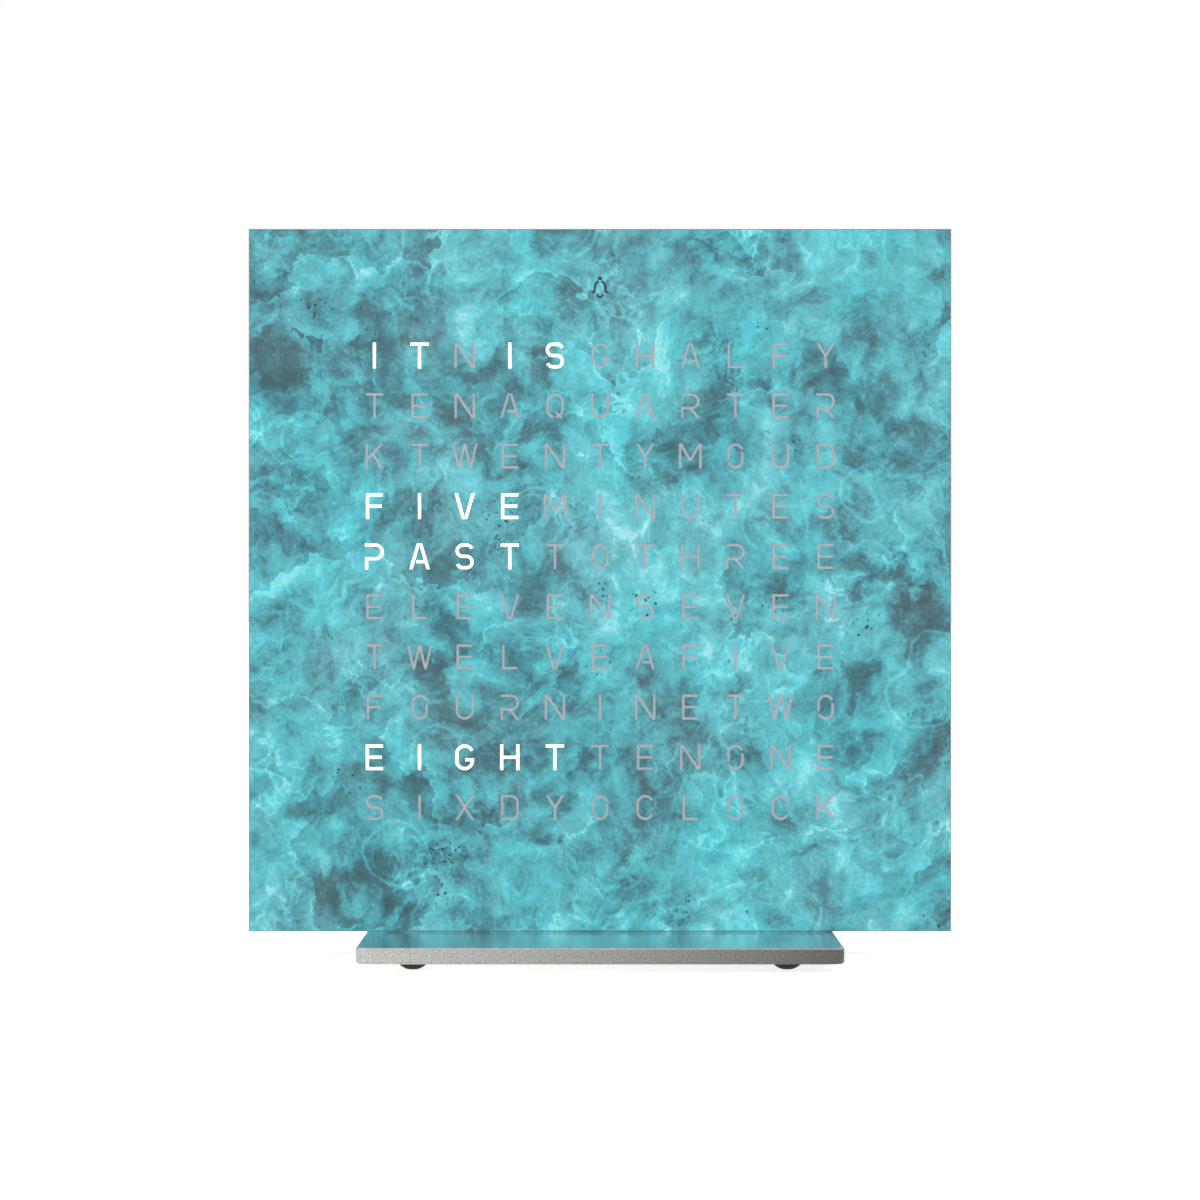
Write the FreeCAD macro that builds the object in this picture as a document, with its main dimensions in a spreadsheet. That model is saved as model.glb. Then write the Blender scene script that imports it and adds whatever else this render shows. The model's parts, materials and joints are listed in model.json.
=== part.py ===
import FreeCAD
import Part
import Sketcher
import math
import os
import re

# A word clock for a table: a square patinated steel face with cut-out letters, held by magnets
# on a black housing 18 mm deep, which stands on a square steel base plate with four feet.
# Millimetres. X is to the right, Z is up, the face looks along -Y, and the origin is on the
# table under the middle of the base plate.

SIZES = {
    # The face and the stack behind it
    "panel_side": 135.0,
    "panel_depth": 18.0,
    "plate_thick": 1.5,
    "plate_break": 0.15,
    "film_thick": 0.5,
    "film_margin": 3.0,
    "cover_gap": 0.2,
    # The letters
    "side_margin": 19.815,
    "top_margin": 19.49,
    "bottom_margin": 19.01,
    "letter_height": 4.85,
    "stroke_width": 0.5,
    "stencil_bridge": 0.45,
    "letter_recess": 0.15,
    "bell_below_top": 11.24,
    "bell_height": 4.1,
    "bell_stroke": 0.4,
    "bell_window_margin": 0.5,
    # The stand
    "base_side": 90.0,
    "base_thick": 3.0,
    "base_corner": 2.5,
    "base_break": 0.3,
    "panel_gap": 0.2,
    "foot_width": 6.4,
    "foot_rise": 1.7,
    "foot_flat": 2.0,
    "foot_inset": 10.2,
    "block_wide": 60.0,
    "block_deep": 9.0,
    "stand_screw_spacing": 44.0,
    "stand_screw_width": 3.0,
    "stand_head_width": 6.0,
    "stand_screw_grip": 4.5,
    "stand_socket": 2.0,
    "screw_clear": 0.1,
    "screw_tip": 0.5,
    # The housing
    "housing_inset": 2.0,
    "housing_wall": 2.0,
    "housing_corner": 1.5,
    "post_side": 8.5,
    "ledge_thick": 1.5,
    "ledge_wide": 2.5,
    "boss_width": 9.0,
    "insert_width": 4.6,
    "magnet_width": 6.0,
    "magnet_thick": 2.0,
    "magnet_clear": 0.05,
    "striker_width": 8.0,
    # The light unit
    "unit_clear": 0.2,
    "grid_depth": 5.0,
    "grid_wall": 0.9,
    "board_thick": 1.6,
    "lamp_long": 3.5,
    "lamp_wide": 2.8,
    "lamp_high": 1.1,
    "board_screw_width": 2.0,
    "board_head_width": 3.6,
    "board_head_high": 1.2,
    "board_screw_inset": 3.6,
    "board_screw_grip": 4.0,
    "board_socket": 1.5,
    "board_boss": 6.4,
    # The rear cover
    "cover_thick": 2.0,
    "cover_break": 0.5,
    "cover_screw_width": 2.5,
    "cover_head_width": 4.7,
    "cover_screw_grip": 5.0,
    "cover_socket": 1.5,
    # The buttons
    "button_width": 6.0,
    "button_clear": 0.15,
    "button_pitch": 13.0,
    "button_inset": 21.5,
    "button_above": 8.0,
    "button_proud": 0.9,
    "button_travel": 0.5,
    "flange_width": 8.0,
    "flange_thick": 0.9,
    "rest_gap": 0.1,
    "switch_side": 6.2,
    "switch_high": 3.5,
    "switch_floor": 0.8,
    "plunger_width": 3.4,
    "plunger_clear": 0.1,
    # The power inlet
    "inlet_height": 20.5,
    "inlet_side": 9.0,
    "inlet_collar": 8.0,
    "inlet_bore": 5.6,
    "inlet_pin": 2.0,
    "inlet_floor": 1.2,
    "inlet_pin_recess": 0.8,
    "inlet_clear": 0.15,
    # The sounder
    "sounder_width": 12.0,
    "sounder_high": 5.5,
    "sounder_port": 2.0,
    "sounder_port_deep": 3.3,
    "sounder_inset": 27.5,
    "sounder_drop": 31.5,
    "grille_hole": 1.4,
    "grille_radius": 3.4,
    # The parts of the circuit
    "chip_side": 10.0,
    "chip_thick": 1.2,
    "chip_above": 10.0,
    "driver_long": 10.3,
    "driver_wide": 7.5,
    "driver_thick": 2.3,
    "driver_pitch": 16.0,
    "driver_below": 14.0,
    "crystal_long": 11.0,
    "crystal_wide": 4.6,
    "crystal_high": 3.5,
    "crystal_above": 22.0,
    "cell_width": 20.0,
    "cell_thick": 3.2,
    "cell_break": 0.3,
    "cell_before_sounder": 14.0,
    "cell_below_sounder": 12.0,
    "holder_floor": 0.9,
    "holder_wall": 1.2,
    "holder_clear": 0.1,
    "holder_lip": 0.6,
    "holder_notch": 10.0,
    "capacitor_width": 6.3,
    "capacitor_high": 5.4,
    "capacitor_pitch": 9.0,
    "supply_aside": 16.0,
    "regulator_long": 6.5,
    "regulator_wide": 3.5,
    "regulator_thick": 1.6,
    "touch_margin": 2.5,
    "touch_tab": 5.0,
    "touch_reach": 4.5,
    "touch_wide": 4.4,
    "touch_thick": 0.3,
}

# Places that follow from the sizes. Depths are measured back from the front of the face, and
# heights from the table.
PLACES = {
    "base_top": "foot_rise + base_thick",
    "panel_mid": "base_top + panel_gap + panel_side / 2",
    "housing_side": "panel_side - 2 * housing_inset",
    "housing_low": "base_top + panel_gap + housing_inset",
    "room_half": "housing_side / 2 - housing_wall",
    "post_half": "room_half - post_side",
    "post_mid": "housing_side / 2 - (housing_wall + post_side) / 2",
    "film_back": "plate_thick + film_thick",
    "unit_front": "film_back + cover_gap",
    "board_front": "unit_front + grid_depth",
    "board_back": "board_front + board_thick",
    "cover_front": "panel_depth - cover_thick",
    "rear_room": "cover_front - board_back",
    "notch_half": "post_half - unit_clear",
    "field_half": "panel_side / 2 - side_margin",
    "field_low": "bottom_margin - panel_side / 2",
    "screw_lane": "board_back + rear_room / 2",
    "foot_place": "base_side / 2 - foot_inset",
    "board_screw_x": "room_half - board_screw_inset",
    "board_screw_z": "0.5 * notch_half",
    "bell_place": "panel_side / 2 - bell_below_top",
    "button_place": "button_inset - housing_side / 2",
    "inlet_place": "inlet_height - housing_side / 2",
    "sounder_across": "housing_side / 2 - sounder_inset",
    "sounder_up": "housing_side / 2 - sounder_drop",
    "cell_across": "sounder_across - cell_before_sounder",
    "cell_up": "sounder_up - cell_below_sounder",
}

ROWS = [
    "ITNISGHALFY",
    "TENAQUARTER",
    "KTWENTYMOUD",
    "FIVEMINUTES",
    "PASTTOTHREE",
    "ELEVENSEVEN",
    "TWELVEAFIVE",
    "FOURNINETWO",
    "EIGHTTENONE",
    "SIXDYOCLOCK",
]

# The lit words, each with its row, its first column and its length: it is five past eight.
LIT_WORDS = [(0, 0, 2), (0, 3, 2), (3, 0, 4), (4, 0, 4), (8, 0, 5)]

COLUMNS = len(ROWS[0])
SOCKET_SHARE = 0.8

doc = FreeCAD.newDocument("word_clock")
sheet = doc.addObject("Spreadsheet::Sheet", "Sizes")
for line, (alias, number) in enumerate(SIZES.items(), start=1):
    sheet.set(f"A{line}", str(number))
    sheet.setAlias(f"A{line}", alias)
doc.recompute()

parts = []


def spell(formula):
    """Write a formula out for the document: each place becomes its sizes, each size its cell."""
    def word(match):
        name = match.group(0)
        if name in PLACES:
            return "(" + spell(PLACES[name]) + ")"
        if name in SIZES:
            return "Sizes." + name
        return name
    return re.sub(r"[a-z_]+", word, str(formula))


def size(alias):
    """One size from the sheet, for the outlines that are drawn point by point."""
    return float(getattr(sheet, alias))


def bind(thing, **formulas):
    """Bind properties of a feature to formulas."""
    for name, formula in formulas.items():
        thing.setExpression(name, spell(formula))
    return thing


def place(thing, x="0", y="0", z="0"):
    """Place a feature by three formulas."""
    thing.setExpression("Placement.Base.x", spell(x))
    thing.setExpression("Placement.Base.y", spell(y))
    thing.setExpression("Placement.Base.z", spell(z))
    return thing


def behind(depth):
    """The Y of a depth behind the front of the face."""
    return f"({depth}) - panel_depth / 2"


def keep(thing, label):
    """Name a finished sub-part and remember it for writing."""
    thing.Label = label
    parts.append(thing)
    return thing


# Sketches and bodies


def new_body(name):
    return doc.addObject("PartDesign::Body", name)


def new_sketch(body, role, lift="0"):
    """A sketch on one of a body's own origin planes, lifted along the plane's normal."""
    plane = next(item for item in body.Origin.OriginFeatures if item.Role == role)
    sketch = body.newObject("Sketcher::SketchObject", body.Name + "_sketch")
    sketch.AttachmentSupport = [(plane, "")]
    sketch.MapMode = "FlatFace"
    sketch.setExpression("AttachmentOffset.Base.z", spell(lift))
    return sketch


def draw_outline(sketch, corners):
    """Draw a closed outline of straight sides, each corner held by two formulas.

    The corners start on a small circle, and the constraints carry them to their places.
    """
    count = len(corners)
    first = sketch.GeometryCount
    turn = 2 * math.pi / count
    starts = [FreeCAD.Vector(math.cos(turn * k + 0.1), math.sin(turn * k + 0.1), 0)
              for k in range(count)]
    for k in range(count):
        sketch.addGeometry(Part.LineSegment(starts[k], starts[(k + 1) % count]), False)
    rules = []
    for k in range(count):
        rules.append(Sketcher.Constraint("Coincident", first + k, 2, first + (k + 1) % count, 1))
    base = sketch.ConstraintCount + len(rules)
    for k in range(count):
        rules.append(Sketcher.Constraint("DistanceX", -1, 1, first + k, 1, starts[k].x))
        rules.append(Sketcher.Constraint("DistanceY", -1, 1, first + k, 1, starts[k].y))
    sketch.addConstraint(rules)
    for k, (across, up) in enumerate(corners):
        sketch.setExpression(f"Constraints[{base + 2 * k}]", spell(across))
        sketch.setExpression(f"Constraints[{base + 2 * k + 1}]", spell(up))


def draw_rectangle(sketch, wide, high, across="0", up="0"):
    """Draw a rectangle about a centre."""
    left, right = f"({across}) - ({wide}) / 2", f"({across}) + ({wide}) / 2"
    low, top = f"({up}) - ({high}) / 2", f"({up}) + ({high}) / 2"
    draw_outline(sketch, [(left, low), (right, low), (right, top), (left, top)])


def draw_circle(sketch, width, across="0", up="0"):
    """Draw a circle about a centre."""
    item = sketch.addGeometry(Part.Circle(FreeCAD.Vector(1, 1, 0), FreeCAD.Vector(0, 0, 1), 1), False)
    base = sketch.ConstraintCount
    sketch.addConstraint([
        Sketcher.Constraint("DistanceX", -1, 1, item, 3, 1.0),
        Sketcher.Constraint("DistanceY", -1, 1, item, 3, 1.0),
        Sketcher.Constraint("Diameter", item, 2.0),
    ])
    for step, formula in enumerate((across, up, width)):
        sketch.setExpression(f"Constraints[{base + step}]", spell(formula))


def feature(body, kind, sketch, length=None, back=False, **settings):
    """Add a feature from a sketch, and stop if it changes nothing."""
    before = body.Shape.Volume if body.Tip else 0.0
    made = body.newObject("PartDesign::" + kind, body.Name + "_" + kind.lower())
    made.Profile = sketch
    made.Reversed = back
    for name, setting in settings.items():
        setattr(made, name, setting)
    if length is not None:
        bind(made, Length=length)
    sketch.Visibility = False
    doc.recompute()
    if abs(body.Shape.Volume - before) < 1e-6:
        raise RuntimeError(f"{made.Name} changes nothing")
    return made


def pad(body, sketch, length, back=False):
    return feature(body, "Pad", sketch, length, back)


def cut(body, sketch, length, back=False):
    return feature(body, "Pocket", sketch, length, back)


def cut_through(body, sketch):
    return feature(body, "Pocket", sketch, Type=1, Midplane=True)


def spin(body, sketch, kind="Revolution"):
    """Turn a sketch once round the sketch's vertical axis."""
    return feature(body, kind, sketch, ReferenceAxis=(sketch, ["V_Axis"]), Angle=360)


def edges_where(shape, test):
    return [f"Edge{k}" for k, edge in enumerate(shape.Edges, start=1) if test(edge)]


def soften(body, kind, test, amount):
    """Fillet or chamfer the edges that pass a test."""
    base = body.Tip
    names = edges_where(base.Shape, test)
    made = body.newObject("PartDesign::" + kind, body.Name + "_" + kind.lower())
    made.Base = (base, names)
    bind(made, **{"Radius" if kind == "Fillet" else "Size": amount})
    doc.recompute()
    return made


def at_back(body):
    """A test for the edges that lie in a body's rearmost plane."""
    back = body.Shape.BoundBox.YMax
    return lambda edge: abs(edge.BoundBox.YMin - back) < 0.01


def runs_along(edge, axis):
    """True for a straight edge along an axis."""
    if edge.Curve.TypeId != "Part::GeomLine":
        return False
    return abs(edge.tangentAt(edge.FirstParameter).dot(axis)) > 0.999


X_AXIS = FreeCAD.Vector(1, 0, 0)
Y_AXIS = FreeCAD.Vector(0, 1, 0)
Z_AXIS = FreeCAD.Vector(0, 0, 1)
FACING_BACK = FreeCAD.Rotation(X_AXIS, -90)


def block(name, wide, deep, high, x, y, z):
    """A box, its middle at x and z, and its front face at y."""
    box = doc.addObject("Part::Box", name)
    bind(box, Length=wide, Width=deep, Height=high)
    return place(box, f"({x}) - ({wide}) / 2", y, f"({z}) - ({high}) / 2")


def rod(name, width, long, x, y, z):
    """A cylinder that starts at a point and runs back along +Y."""
    cylinder = doc.addObject("Part::Cylinder", name)
    bind(cylinder, Radius=f"({width}) / 2", Height=long)
    cylinder.Placement = FreeCAD.Placement(FreeCAD.Vector(), FACING_BACK)
    return place(cylinder, x, y, z)


def join(name, pieces):
    """Fuse several pieces into one solid."""
    made = doc.addObject("Part::MultiFuse", name)
    made.Shapes = pieces
    return made


def less(name, base, tools):
    """Cut tools out of a base."""
    made = doc.addObject("Part::Cut", name)
    made.Base = base
    made.Tool = tools[0] if len(tools) == 1 else join(name + "_tools", tools)
    return made


def group(name, members):
    """Several separate solids under one name."""
    made = doc.addObject("Part::Compound", name)
    made.Links = members
    return made


def screw(name, thread, head, head_high, grip, socket, x, y, z, turn, sunk=True):
    """A socket screw: its head's flat top at the point, its thread running away from it.

    A sunk head is a cone under a flat top, and the other kind is a plain cylinder.
    """
    if sunk:
        top = doc.addObject("Part::Cone", name + "_head")
        bind(top, Radius1=f"({head}) / 2", Radius2=f"({thread}) / 2", Height=head_high)
    else:
        top = doc.addObject("Part::Cylinder", name + "_head")
        bind(top, Radius=f"({head}) / 2", Height=head_high)
    shank = doc.addObject("Part::Cylinder", name + "_shank")
    bind(shank, Radius=f"({thread}) / 2", Height=f"({head_high}) + ({grip})")
    hexagon = doc.addObject("Part::Prism", name + "_socket")
    hexagon.Polygon = 6
    bind(hexagon, Circumradius=f"({socket}) / sqrt(3)", Height=f"{SOCKET_SHARE} * ({head_high})")
    made = less(name, join(name + "_body", [top, shank]), [hexagon])
    made.Placement = FreeCAD.Placement(FreeCAD.Vector(), turn)
    return place(made, x, y, z)


# Letters. Each is a list of strokes, flat faces in the XZ plane about the letter's centre. A
# letter that would enclose an island of the plate is left open by a bridge, as in a stencil.

tall = size("letter_height")
pen = size("stroke_width")
bridge = size("stencil_bridge")
top = tall / 2
edge_line = top - pen / 2


def flat_face(points):
    corners = [FreeCAD.Vector(x, 0, z) for x, z in points]
    return Part.Face(Part.makePolygon(corners + corners[:1]))


def bar(x0, z0, x1, z1, width=pen):
    """A straight stroke with square ends."""
    long = math.hypot(x1 - x0, z1 - z0)
    nx, nz = (z0 - z1) / long * width / 2, (x1 - x0) / long * width / 2
    return flat_face([(x0 + nx, z0 + nz), (x1 + nx, z1 + nz), (x1 - nx, z1 - nz), (x0 - nx, z0 - nz)])


def slant(x0, z0, x1, z1, width=pen):
    """A slanted stroke with level ends."""
    half = width / 2 * math.hypot(x1 - x0, z1 - z0) / abs(z1 - z0)
    return flat_face([(x0 - half, z0), (x0 + half, z0), (x1 + half, z1), (x1 - half, z1)])


def stem(x, low=-top, high=top):
    return bar(x, low, x, high)


def rail(z, left, right):
    return bar(left, z, right, z)


def bend(x, z, radius, start, stop, width=pen):
    """A round stroke about a centre, from one angle to another, in degrees."""
    def at(reach, angle):
        turned = math.radians(angle)
        return FreeCAD.Vector(x + reach * math.cos(turned), 0, z + reach * math.sin(turned))
    outer, inner, middle = radius + width / 2, radius - width / 2, (start + stop) / 2
    sides = [
        Part.Arc(at(outer, start), at(outer, middle), at(outer, stop)).toShape(),
        Part.makeLine(at(outer, stop), at(inner, stop)),
        Part.Arc(at(inner, stop), at(inner, middle), at(inner, start)).toShape(),
        Part.makeLine(at(inner, start), at(outer, start)),
    ]
    return Part.Face(Part.Wire(sides))


def merged(strokes):
    """Join strokes into as few flat faces as they make, all turned the same way first."""
    alike = [face if face.normalAt(0, 0).y > 0 else face.reversed() for face in strokes]
    if len(alike) == 1:
        return alike
    return alike[0].multiFuse(alike[1:]).removeSplitter().Faces


def letter(name):
    """The strokes of one letter. The widths are shares of the letter's height."""
    wide = tall * {
        "A": 0.78, "C": 0.70, "D": 0.72, "E": 0.66, "F": 0.64, "G": 0.72, "H": 0.74, "I": 0.2,
        "K": 0.72, "L": 0.62, "M": 0.91, "N": 0.82, "O": 0.66, "P": 0.72, "Q": 0.70, "R": 0.74,
        "S": 0.70, "T": 0.70, "U": 0.72, "V": 0.77, "W": 1.03, "X": 0.74, "Y": 0.74,
    }[name]
    out = wide / 2
    side = out - pen / 2
    turn = edge_line - side
    open_angle = math.degrees(bridge / side)
    bowl = 0.27 * tall
    waist = edge_line - 2 * bowl
    curve = edge_line / 2
    corner = 0.26 * tall
    bar_height = -0.21 * tall
    leg_reach = side - (side - 0.4 * pen) * (bar_height + top) / tall

    strokes = {
        "A": lambda: [slant(-side, -top, -0.4 * pen, top), slant(side, -top, 0.4 * pen, top),
                      rail(bar_height, -leg_reach + pen / 2 + bridge, leg_reach)],
        "C": lambda: [bend(0, turn, side, 25, 180), stem(-side, -turn, turn),
                      bend(0, -turn, side, 180, 335)],
        "D": lambda: [rail(edge_line, -out, side - corner),
                      bend(side - corner, edge_line - corner, corner, 0, 90),
                      stem(side, corner - edge_line, edge_line - corner),
                      bend(side - corner, corner - edge_line, corner, -90, 0),
                      rail(-edge_line, -out, side - corner),
                      stem(-side, pen + bridge - top)],
        "E": lambda: [stem(-side), rail(edge_line, -out, out), rail(0, -out, 0.86 * out),
                      rail(-edge_line, -out, out)],
        "F": lambda: [stem(-side), rail(edge_line, -out, out), rail(0, -out, 0.86 * out)],
        "G": lambda: [bend(0, turn, side, 25, 180), stem(-side, -turn, turn),
                      bend(0, -turn, side, 180, 360), stem(side, -turn, pen / 2 - 0.1 * tall),
                      rail(-0.1 * tall, 0.1 * out, out)],
        "H": lambda: [stem(-side), stem(side), rail(0, -side, side)],
        "I": lambda: [stem(0)],
        "K": lambda: [stem(-side), slant(0.3 * pen - side, -0.13 * tall, side, top),
                      slant(-0.25 * side, 0.1 * tall, side, -top)],
        "L": lambda: [stem(-side), rail(-edge_line, -out, out)],
        "M": lambda: [stem(-side), stem(side), slant(0.2 * pen - side, top, 0, -0.2 * tall),
                      slant(side - 0.2 * pen, top, 0, -0.2 * tall)],
        "N": lambda: [stem(-side), stem(side), slant(0.2 * pen - side, top, side - 0.2 * pen, -top)],
        "O": lambda: merged([stem(-side, -turn, turn), bend(0, turn, side, open_angle, 180)])
        + merged([stem(side, -turn, turn), bend(0, -turn, side, 180 + open_angle, 360)]),
        "P": lambda: [rail(edge_line, -out, side - bowl),
                      bend(side - bowl, edge_line - bowl, bowl, -90, 90),
                      rail(waist, -out, side - bowl), stem(-side, -top, waist + pen / 2)],
        "R": lambda: [rail(edge_line, -out, side - bowl),
                      bend(side - bowl, edge_line - bowl, bowl, -90, 90),
                      rail(waist, -out, side - bowl), stem(-side, -top, waist + pen / 2),
                      slant(0, waist, side, -top)],
        "Q": lambda: [stem(-side, -turn, turn), bend(0, turn, side, 0, 180),
                      stem(side, -turn, turn), bend(0, -turn, side, 180, 270 - open_angle / 2),
                      bend(0, -turn, side, 270 + open_angle / 2, 360),
                      slant(0.15 * side, -0.24 * tall, 0.9 * side, -top)],
        "S": lambda: [bend(side - curve, curve, curve, 25, 90),
                      rail(edge_line, curve - side, side - curve),
                      bend(curve - side, curve, curve, 90, 270), rail(0, curve - side, side - curve),
                      bend(side - curve, -curve, curve, -90, 90),
                      rail(-edge_line, curve - side, side - curve),
                      bend(curve - side, -curve, curve, 205, 270)],
        "T": lambda: [rail(edge_line, -out, out), stem(0)],
        "U": lambda: [stem(-side, -turn, top), stem(side, -turn, top),
                      bend(0, -turn, side, 180, 360)],
        "V": lambda: [slant(-side, top, -0.4 * pen, -top), slant(side, top, 0.4 * pen, -top)],
        "W": lambda: [slant(-side, top, -side / 2, -top), slant(0, top, -side / 2, -top),
                      slant(0, top, side / 2, -top), slant(side, top, side / 2, -top)],
        "X": lambda: [slant(-side, -top, side, top), slant(-side, top, side, -top)],
        "Y": lambda: [slant(-side, top, 0, -0.02 * tall), slant(side, top, 0, -0.02 * tall),
                      stem(0, -top, 0)],
    }
    return strokes[name]()


def bell():
    """A plain alarm bell: a knob, two flared sides with feet, and a clapper below."""
    share = size("bell_height") / 4.1
    ink = size("bell_stroke")
    half = [bend(0, 0.25 * share, 0.95 * share, 105, 180, ink),
            slant(-0.95 * share, 0.25 * share, -1.15 * share, -0.8 * share, ink),
            bar(-1.7 * share, -0.95 * share, -0.95 * share, -0.95 * share, ink)]
    other = [piece.mirror(FreeCAD.Vector(), X_AXIS) for piece in half]
    knob = [bar(0, 1.45 * share, 0, 2.05 * share, 0.8 * share)]
    clapper = [bend(0, -1.3 * share, 0.55 * share, 180, 360, ink)]
    return merged(half) + merged(other) + knob + clapper


column_pitch = (size("panel_side") - 2 * size("side_margin")) / COLUMNS
row_pitch = (size("panel_side") - size("top_margin") - size("bottom_margin")) / len(ROWS)
glyphs = {name: merged(letter(name)) for name in sorted(set("".join(ROWS)))}


def cell_place(row, column):
    """The centre of a letter's cell, from the centre of the face."""
    x = (column - (COLUMNS - 1) / 2) * column_pitch
    z = size("panel_side") / 2 - size("top_margin") - (row + 0.5) * row_pitch
    return FreeCAD.Vector(x, 0, z)


def moved(faces, where):
    return [face.translated(where) for face in faces]


lit_cells = {(row, first + k) for row, first, count in LIT_WORDS for k in range(count)}
lit_faces = []
unlit_faces = []
for row, words in enumerate(ROWS):
    for column, name in enumerate(words):
        chosen = lit_faces if (row, column) in lit_cells else unlit_faces
        chosen.extend(moved(glyphs[name], cell_place(row, column)))
bell_faces = moved(bell(), FreeCAD.Vector(0, 0, size("panel_side") / 2 - size("bell_below_top")))


def flat_drawing(name, shape):
    """A flat drawing in the plane of the face, for an extrusion."""
    drawing = doc.addObject("Part::Feature", name)
    drawing.Shape = shape
    return drawing


def extruded(name, drawing, thick):
    """Extrude a flat drawing backwards."""
    made = doc.addObject("Part::Extrusion", name)
    made.Base = drawing
    made.DirMode = "Custom"
    made.Dir = Y_AXIS
    made.Solid = True
    return bind(made, LengthFwd=thick)


def rectangle_wire(wide, high, x=0.0, z=0.0):
    points = [(-wide, -high), (wide, -high), (wide, high), (-wide, high), (-wide, -high)]
    return Part.makePolygon([FreeCAD.Vector(x + a / 2, 0, z + b / 2) for a, b in points])


def face_with_holes(outer, holes):
    return Part.makeFace([outer] + holes, "Part::FaceMakerBullseye")


# The base plate, its feet and the block that carries the housing.


def make_base_plate():
    body = new_body("base_plate")
    sketch = new_sketch(body, "XY_Plane")
    draw_rectangle(sketch, "base_side", "base_side")
    pad(body, sketch, "base_thick")
    soften(body, "Fillet", lambda edge: runs_along(edge, Z_AXIS), "base_corner")
    soften(body, "Chamfer", lambda edge: edge.BoundBox.ZLength < 1e-6, "base_break")
    for side in (-1, 1):
        across = f"{side} * stand_screw_spacing / 2"
        up = behind("screw_lane")
        hole = new_sketch(body, "XY_Plane")
        draw_circle(hole, "stand_screw_width + 2 * screw_clear", across, up)
        cut_through(body, hole)
        sink = body.newObject("PartDesign::SubtractiveCone", "base_plate_sink")
        bind(sink, Radius1="stand_head_width / 2 + screw_clear",
             Radius2="stand_screw_width / 2 + screw_clear",
             Height="(stand_head_width - stand_screw_width) / 2")
        place(sink, across, up)
        doc.recompute()
    place(body, z="foot_rise")
    return keep(body, "base_plate")


def make_foot(name, side, end):
    """A soft dome with a small flat where it meets the table."""
    body = new_body(name)
    sketch = new_sketch(body, "XZ_Plane")
    rim, flat, rise = size("foot_width") / 2, size("foot_flat") / 2, size("foot_rise")
    reach = (rim ** 2 - flat ** 2 - rise ** 2) / (2 * rise)
    dome = math.hypot(rim, reach)
    points = [FreeCAD.Vector(0, 0, 0), FreeCAD.Vector(flat, 0, 0), FreeCAD.Vector(rim, rise, 0),
              FreeCAD.Vector(0, rise, 0)]
    middle = rise + reach
    start = math.atan2(-middle, flat)
    stop = math.atan2(-reach, rim)
    sketch.addGeometry([
        Part.LineSegment(points[0], points[1]),
        Part.ArcOfCircle(Part.Circle(FreeCAD.Vector(0, middle, 0), Z_AXIS, dome), start, stop),
        Part.LineSegment(points[2], points[3]),
        Part.LineSegment(points[3], points[0]),
    ], False)
    sketch.addConstraint([
        Sketcher.Constraint("Coincident", 0, 2, 1, 1),
        Sketcher.Constraint("Coincident", 1, 2, 2, 1),
        Sketcher.Constraint("Coincident", 2, 2, 3, 1),
        Sketcher.Constraint("Coincident", 3, 2, 0, 1),
        Sketcher.Constraint("Coincident", 0, 1, -1, 1),
        Sketcher.Constraint("Horizontal", 0),
        Sketcher.Constraint("Horizontal", 2),
        Sketcher.Constraint("Vertical", 3),
        Sketcher.Constraint("PointOnObject", 1, 3, -2),
    ])
    first = sketch.ConstraintCount
    sketch.addConstraint([
        Sketcher.Constraint("DistanceX", 0, 1, 0, 2, flat),
        Sketcher.Constraint("DistanceX", 2, 2, 2, 1, rim),
        Sketcher.Constraint("DistanceY", 3, 2, 3, 1, rise),
    ])
    for step, formula in enumerate(("foot_flat / 2", "foot_width / 2", "foot_rise")):
        sketch.setExpression(f"Constraints[{first + step}]", spell(formula))
    spin(body, sketch)
    place(body, f"{side} * foot_place", f"{end} * foot_place")
    return keep(body, name)


def make_mount_block():
    body = new_body("mount_block")
    sketch = new_sketch(body, "XY_Plane")
    draw_rectangle(sketch, "block_wide", "block_deep")
    for side in (-1, 1):
        draw_circle(sketch, "stand_screw_width + 2 * screw_clear", f"{side} * stand_screw_spacing / 2")
    pad(body, sketch, "panel_gap + housing_inset")
    place(body, y=behind("screw_lane"), z="base_top")
    return keep(body, "mount_block")


def make_stand_screws():
    screws = []
    for name, side in (("stand_screw_left", -1), ("stand_screw_right", 1)):
        grip = "base_thick - (stand_head_width - stand_screw_width) / 2 + panel_gap" \
            " + housing_inset + housing_wall + stand_screw_grip"
        screws.append(screw(name, "stand_screw_width", "stand_head_width",
                            "(stand_head_width - stand_screw_width) / 2", grip, "stand_socket",
                            f"{side} * stand_screw_spacing / 2", behind("screw_lane"), "foot_rise",
                            FreeCAD.Rotation()))
    return keep(group("stand_screws", screws), "stand_screws")


# The front cover: the steel face, the cast letters, the film and the strikers for the magnets.


def make_front_plate():
    holes = [face.OuterWire for face in lit_faces + unlit_faces + bell_faces]
    side = size("panel_side")
    outline = flat_drawing("front_plate_outline", face_with_holes(rectangle_wire(side, side), holes))
    plate = extruded("front_plate_blank", outline, "plate_thick")
    doc.recompute()
    rim = [k for k, edge in enumerate(plate.Shape.Edges, start=1)
           if abs(edge.CenterOfMass.y) < 1e-6 and edge.Length > 0.99 * side]
    broken = doc.addObject("Part::Chamfer", "front_plate")
    broken.Base = plate
    broken.Edges = [(k, size("plate_break"), size("plate_break")) for k in rim]
    place(broken, y=behind("0"), z="panel_mid")
    return keep(broken, "front_plate")


def make_inlay(name, faces):
    """Cast resin in the cut-outs, a little below the face."""
    drawing = flat_drawing(name + "_outline", Part.makeCompound(faces))
    inlay = extruded(name, drawing, "plate_thick - letter_recess")
    place(inlay, y=behind("letter_recess"), z="panel_mid")
    return keep(inlay, name)


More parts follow.
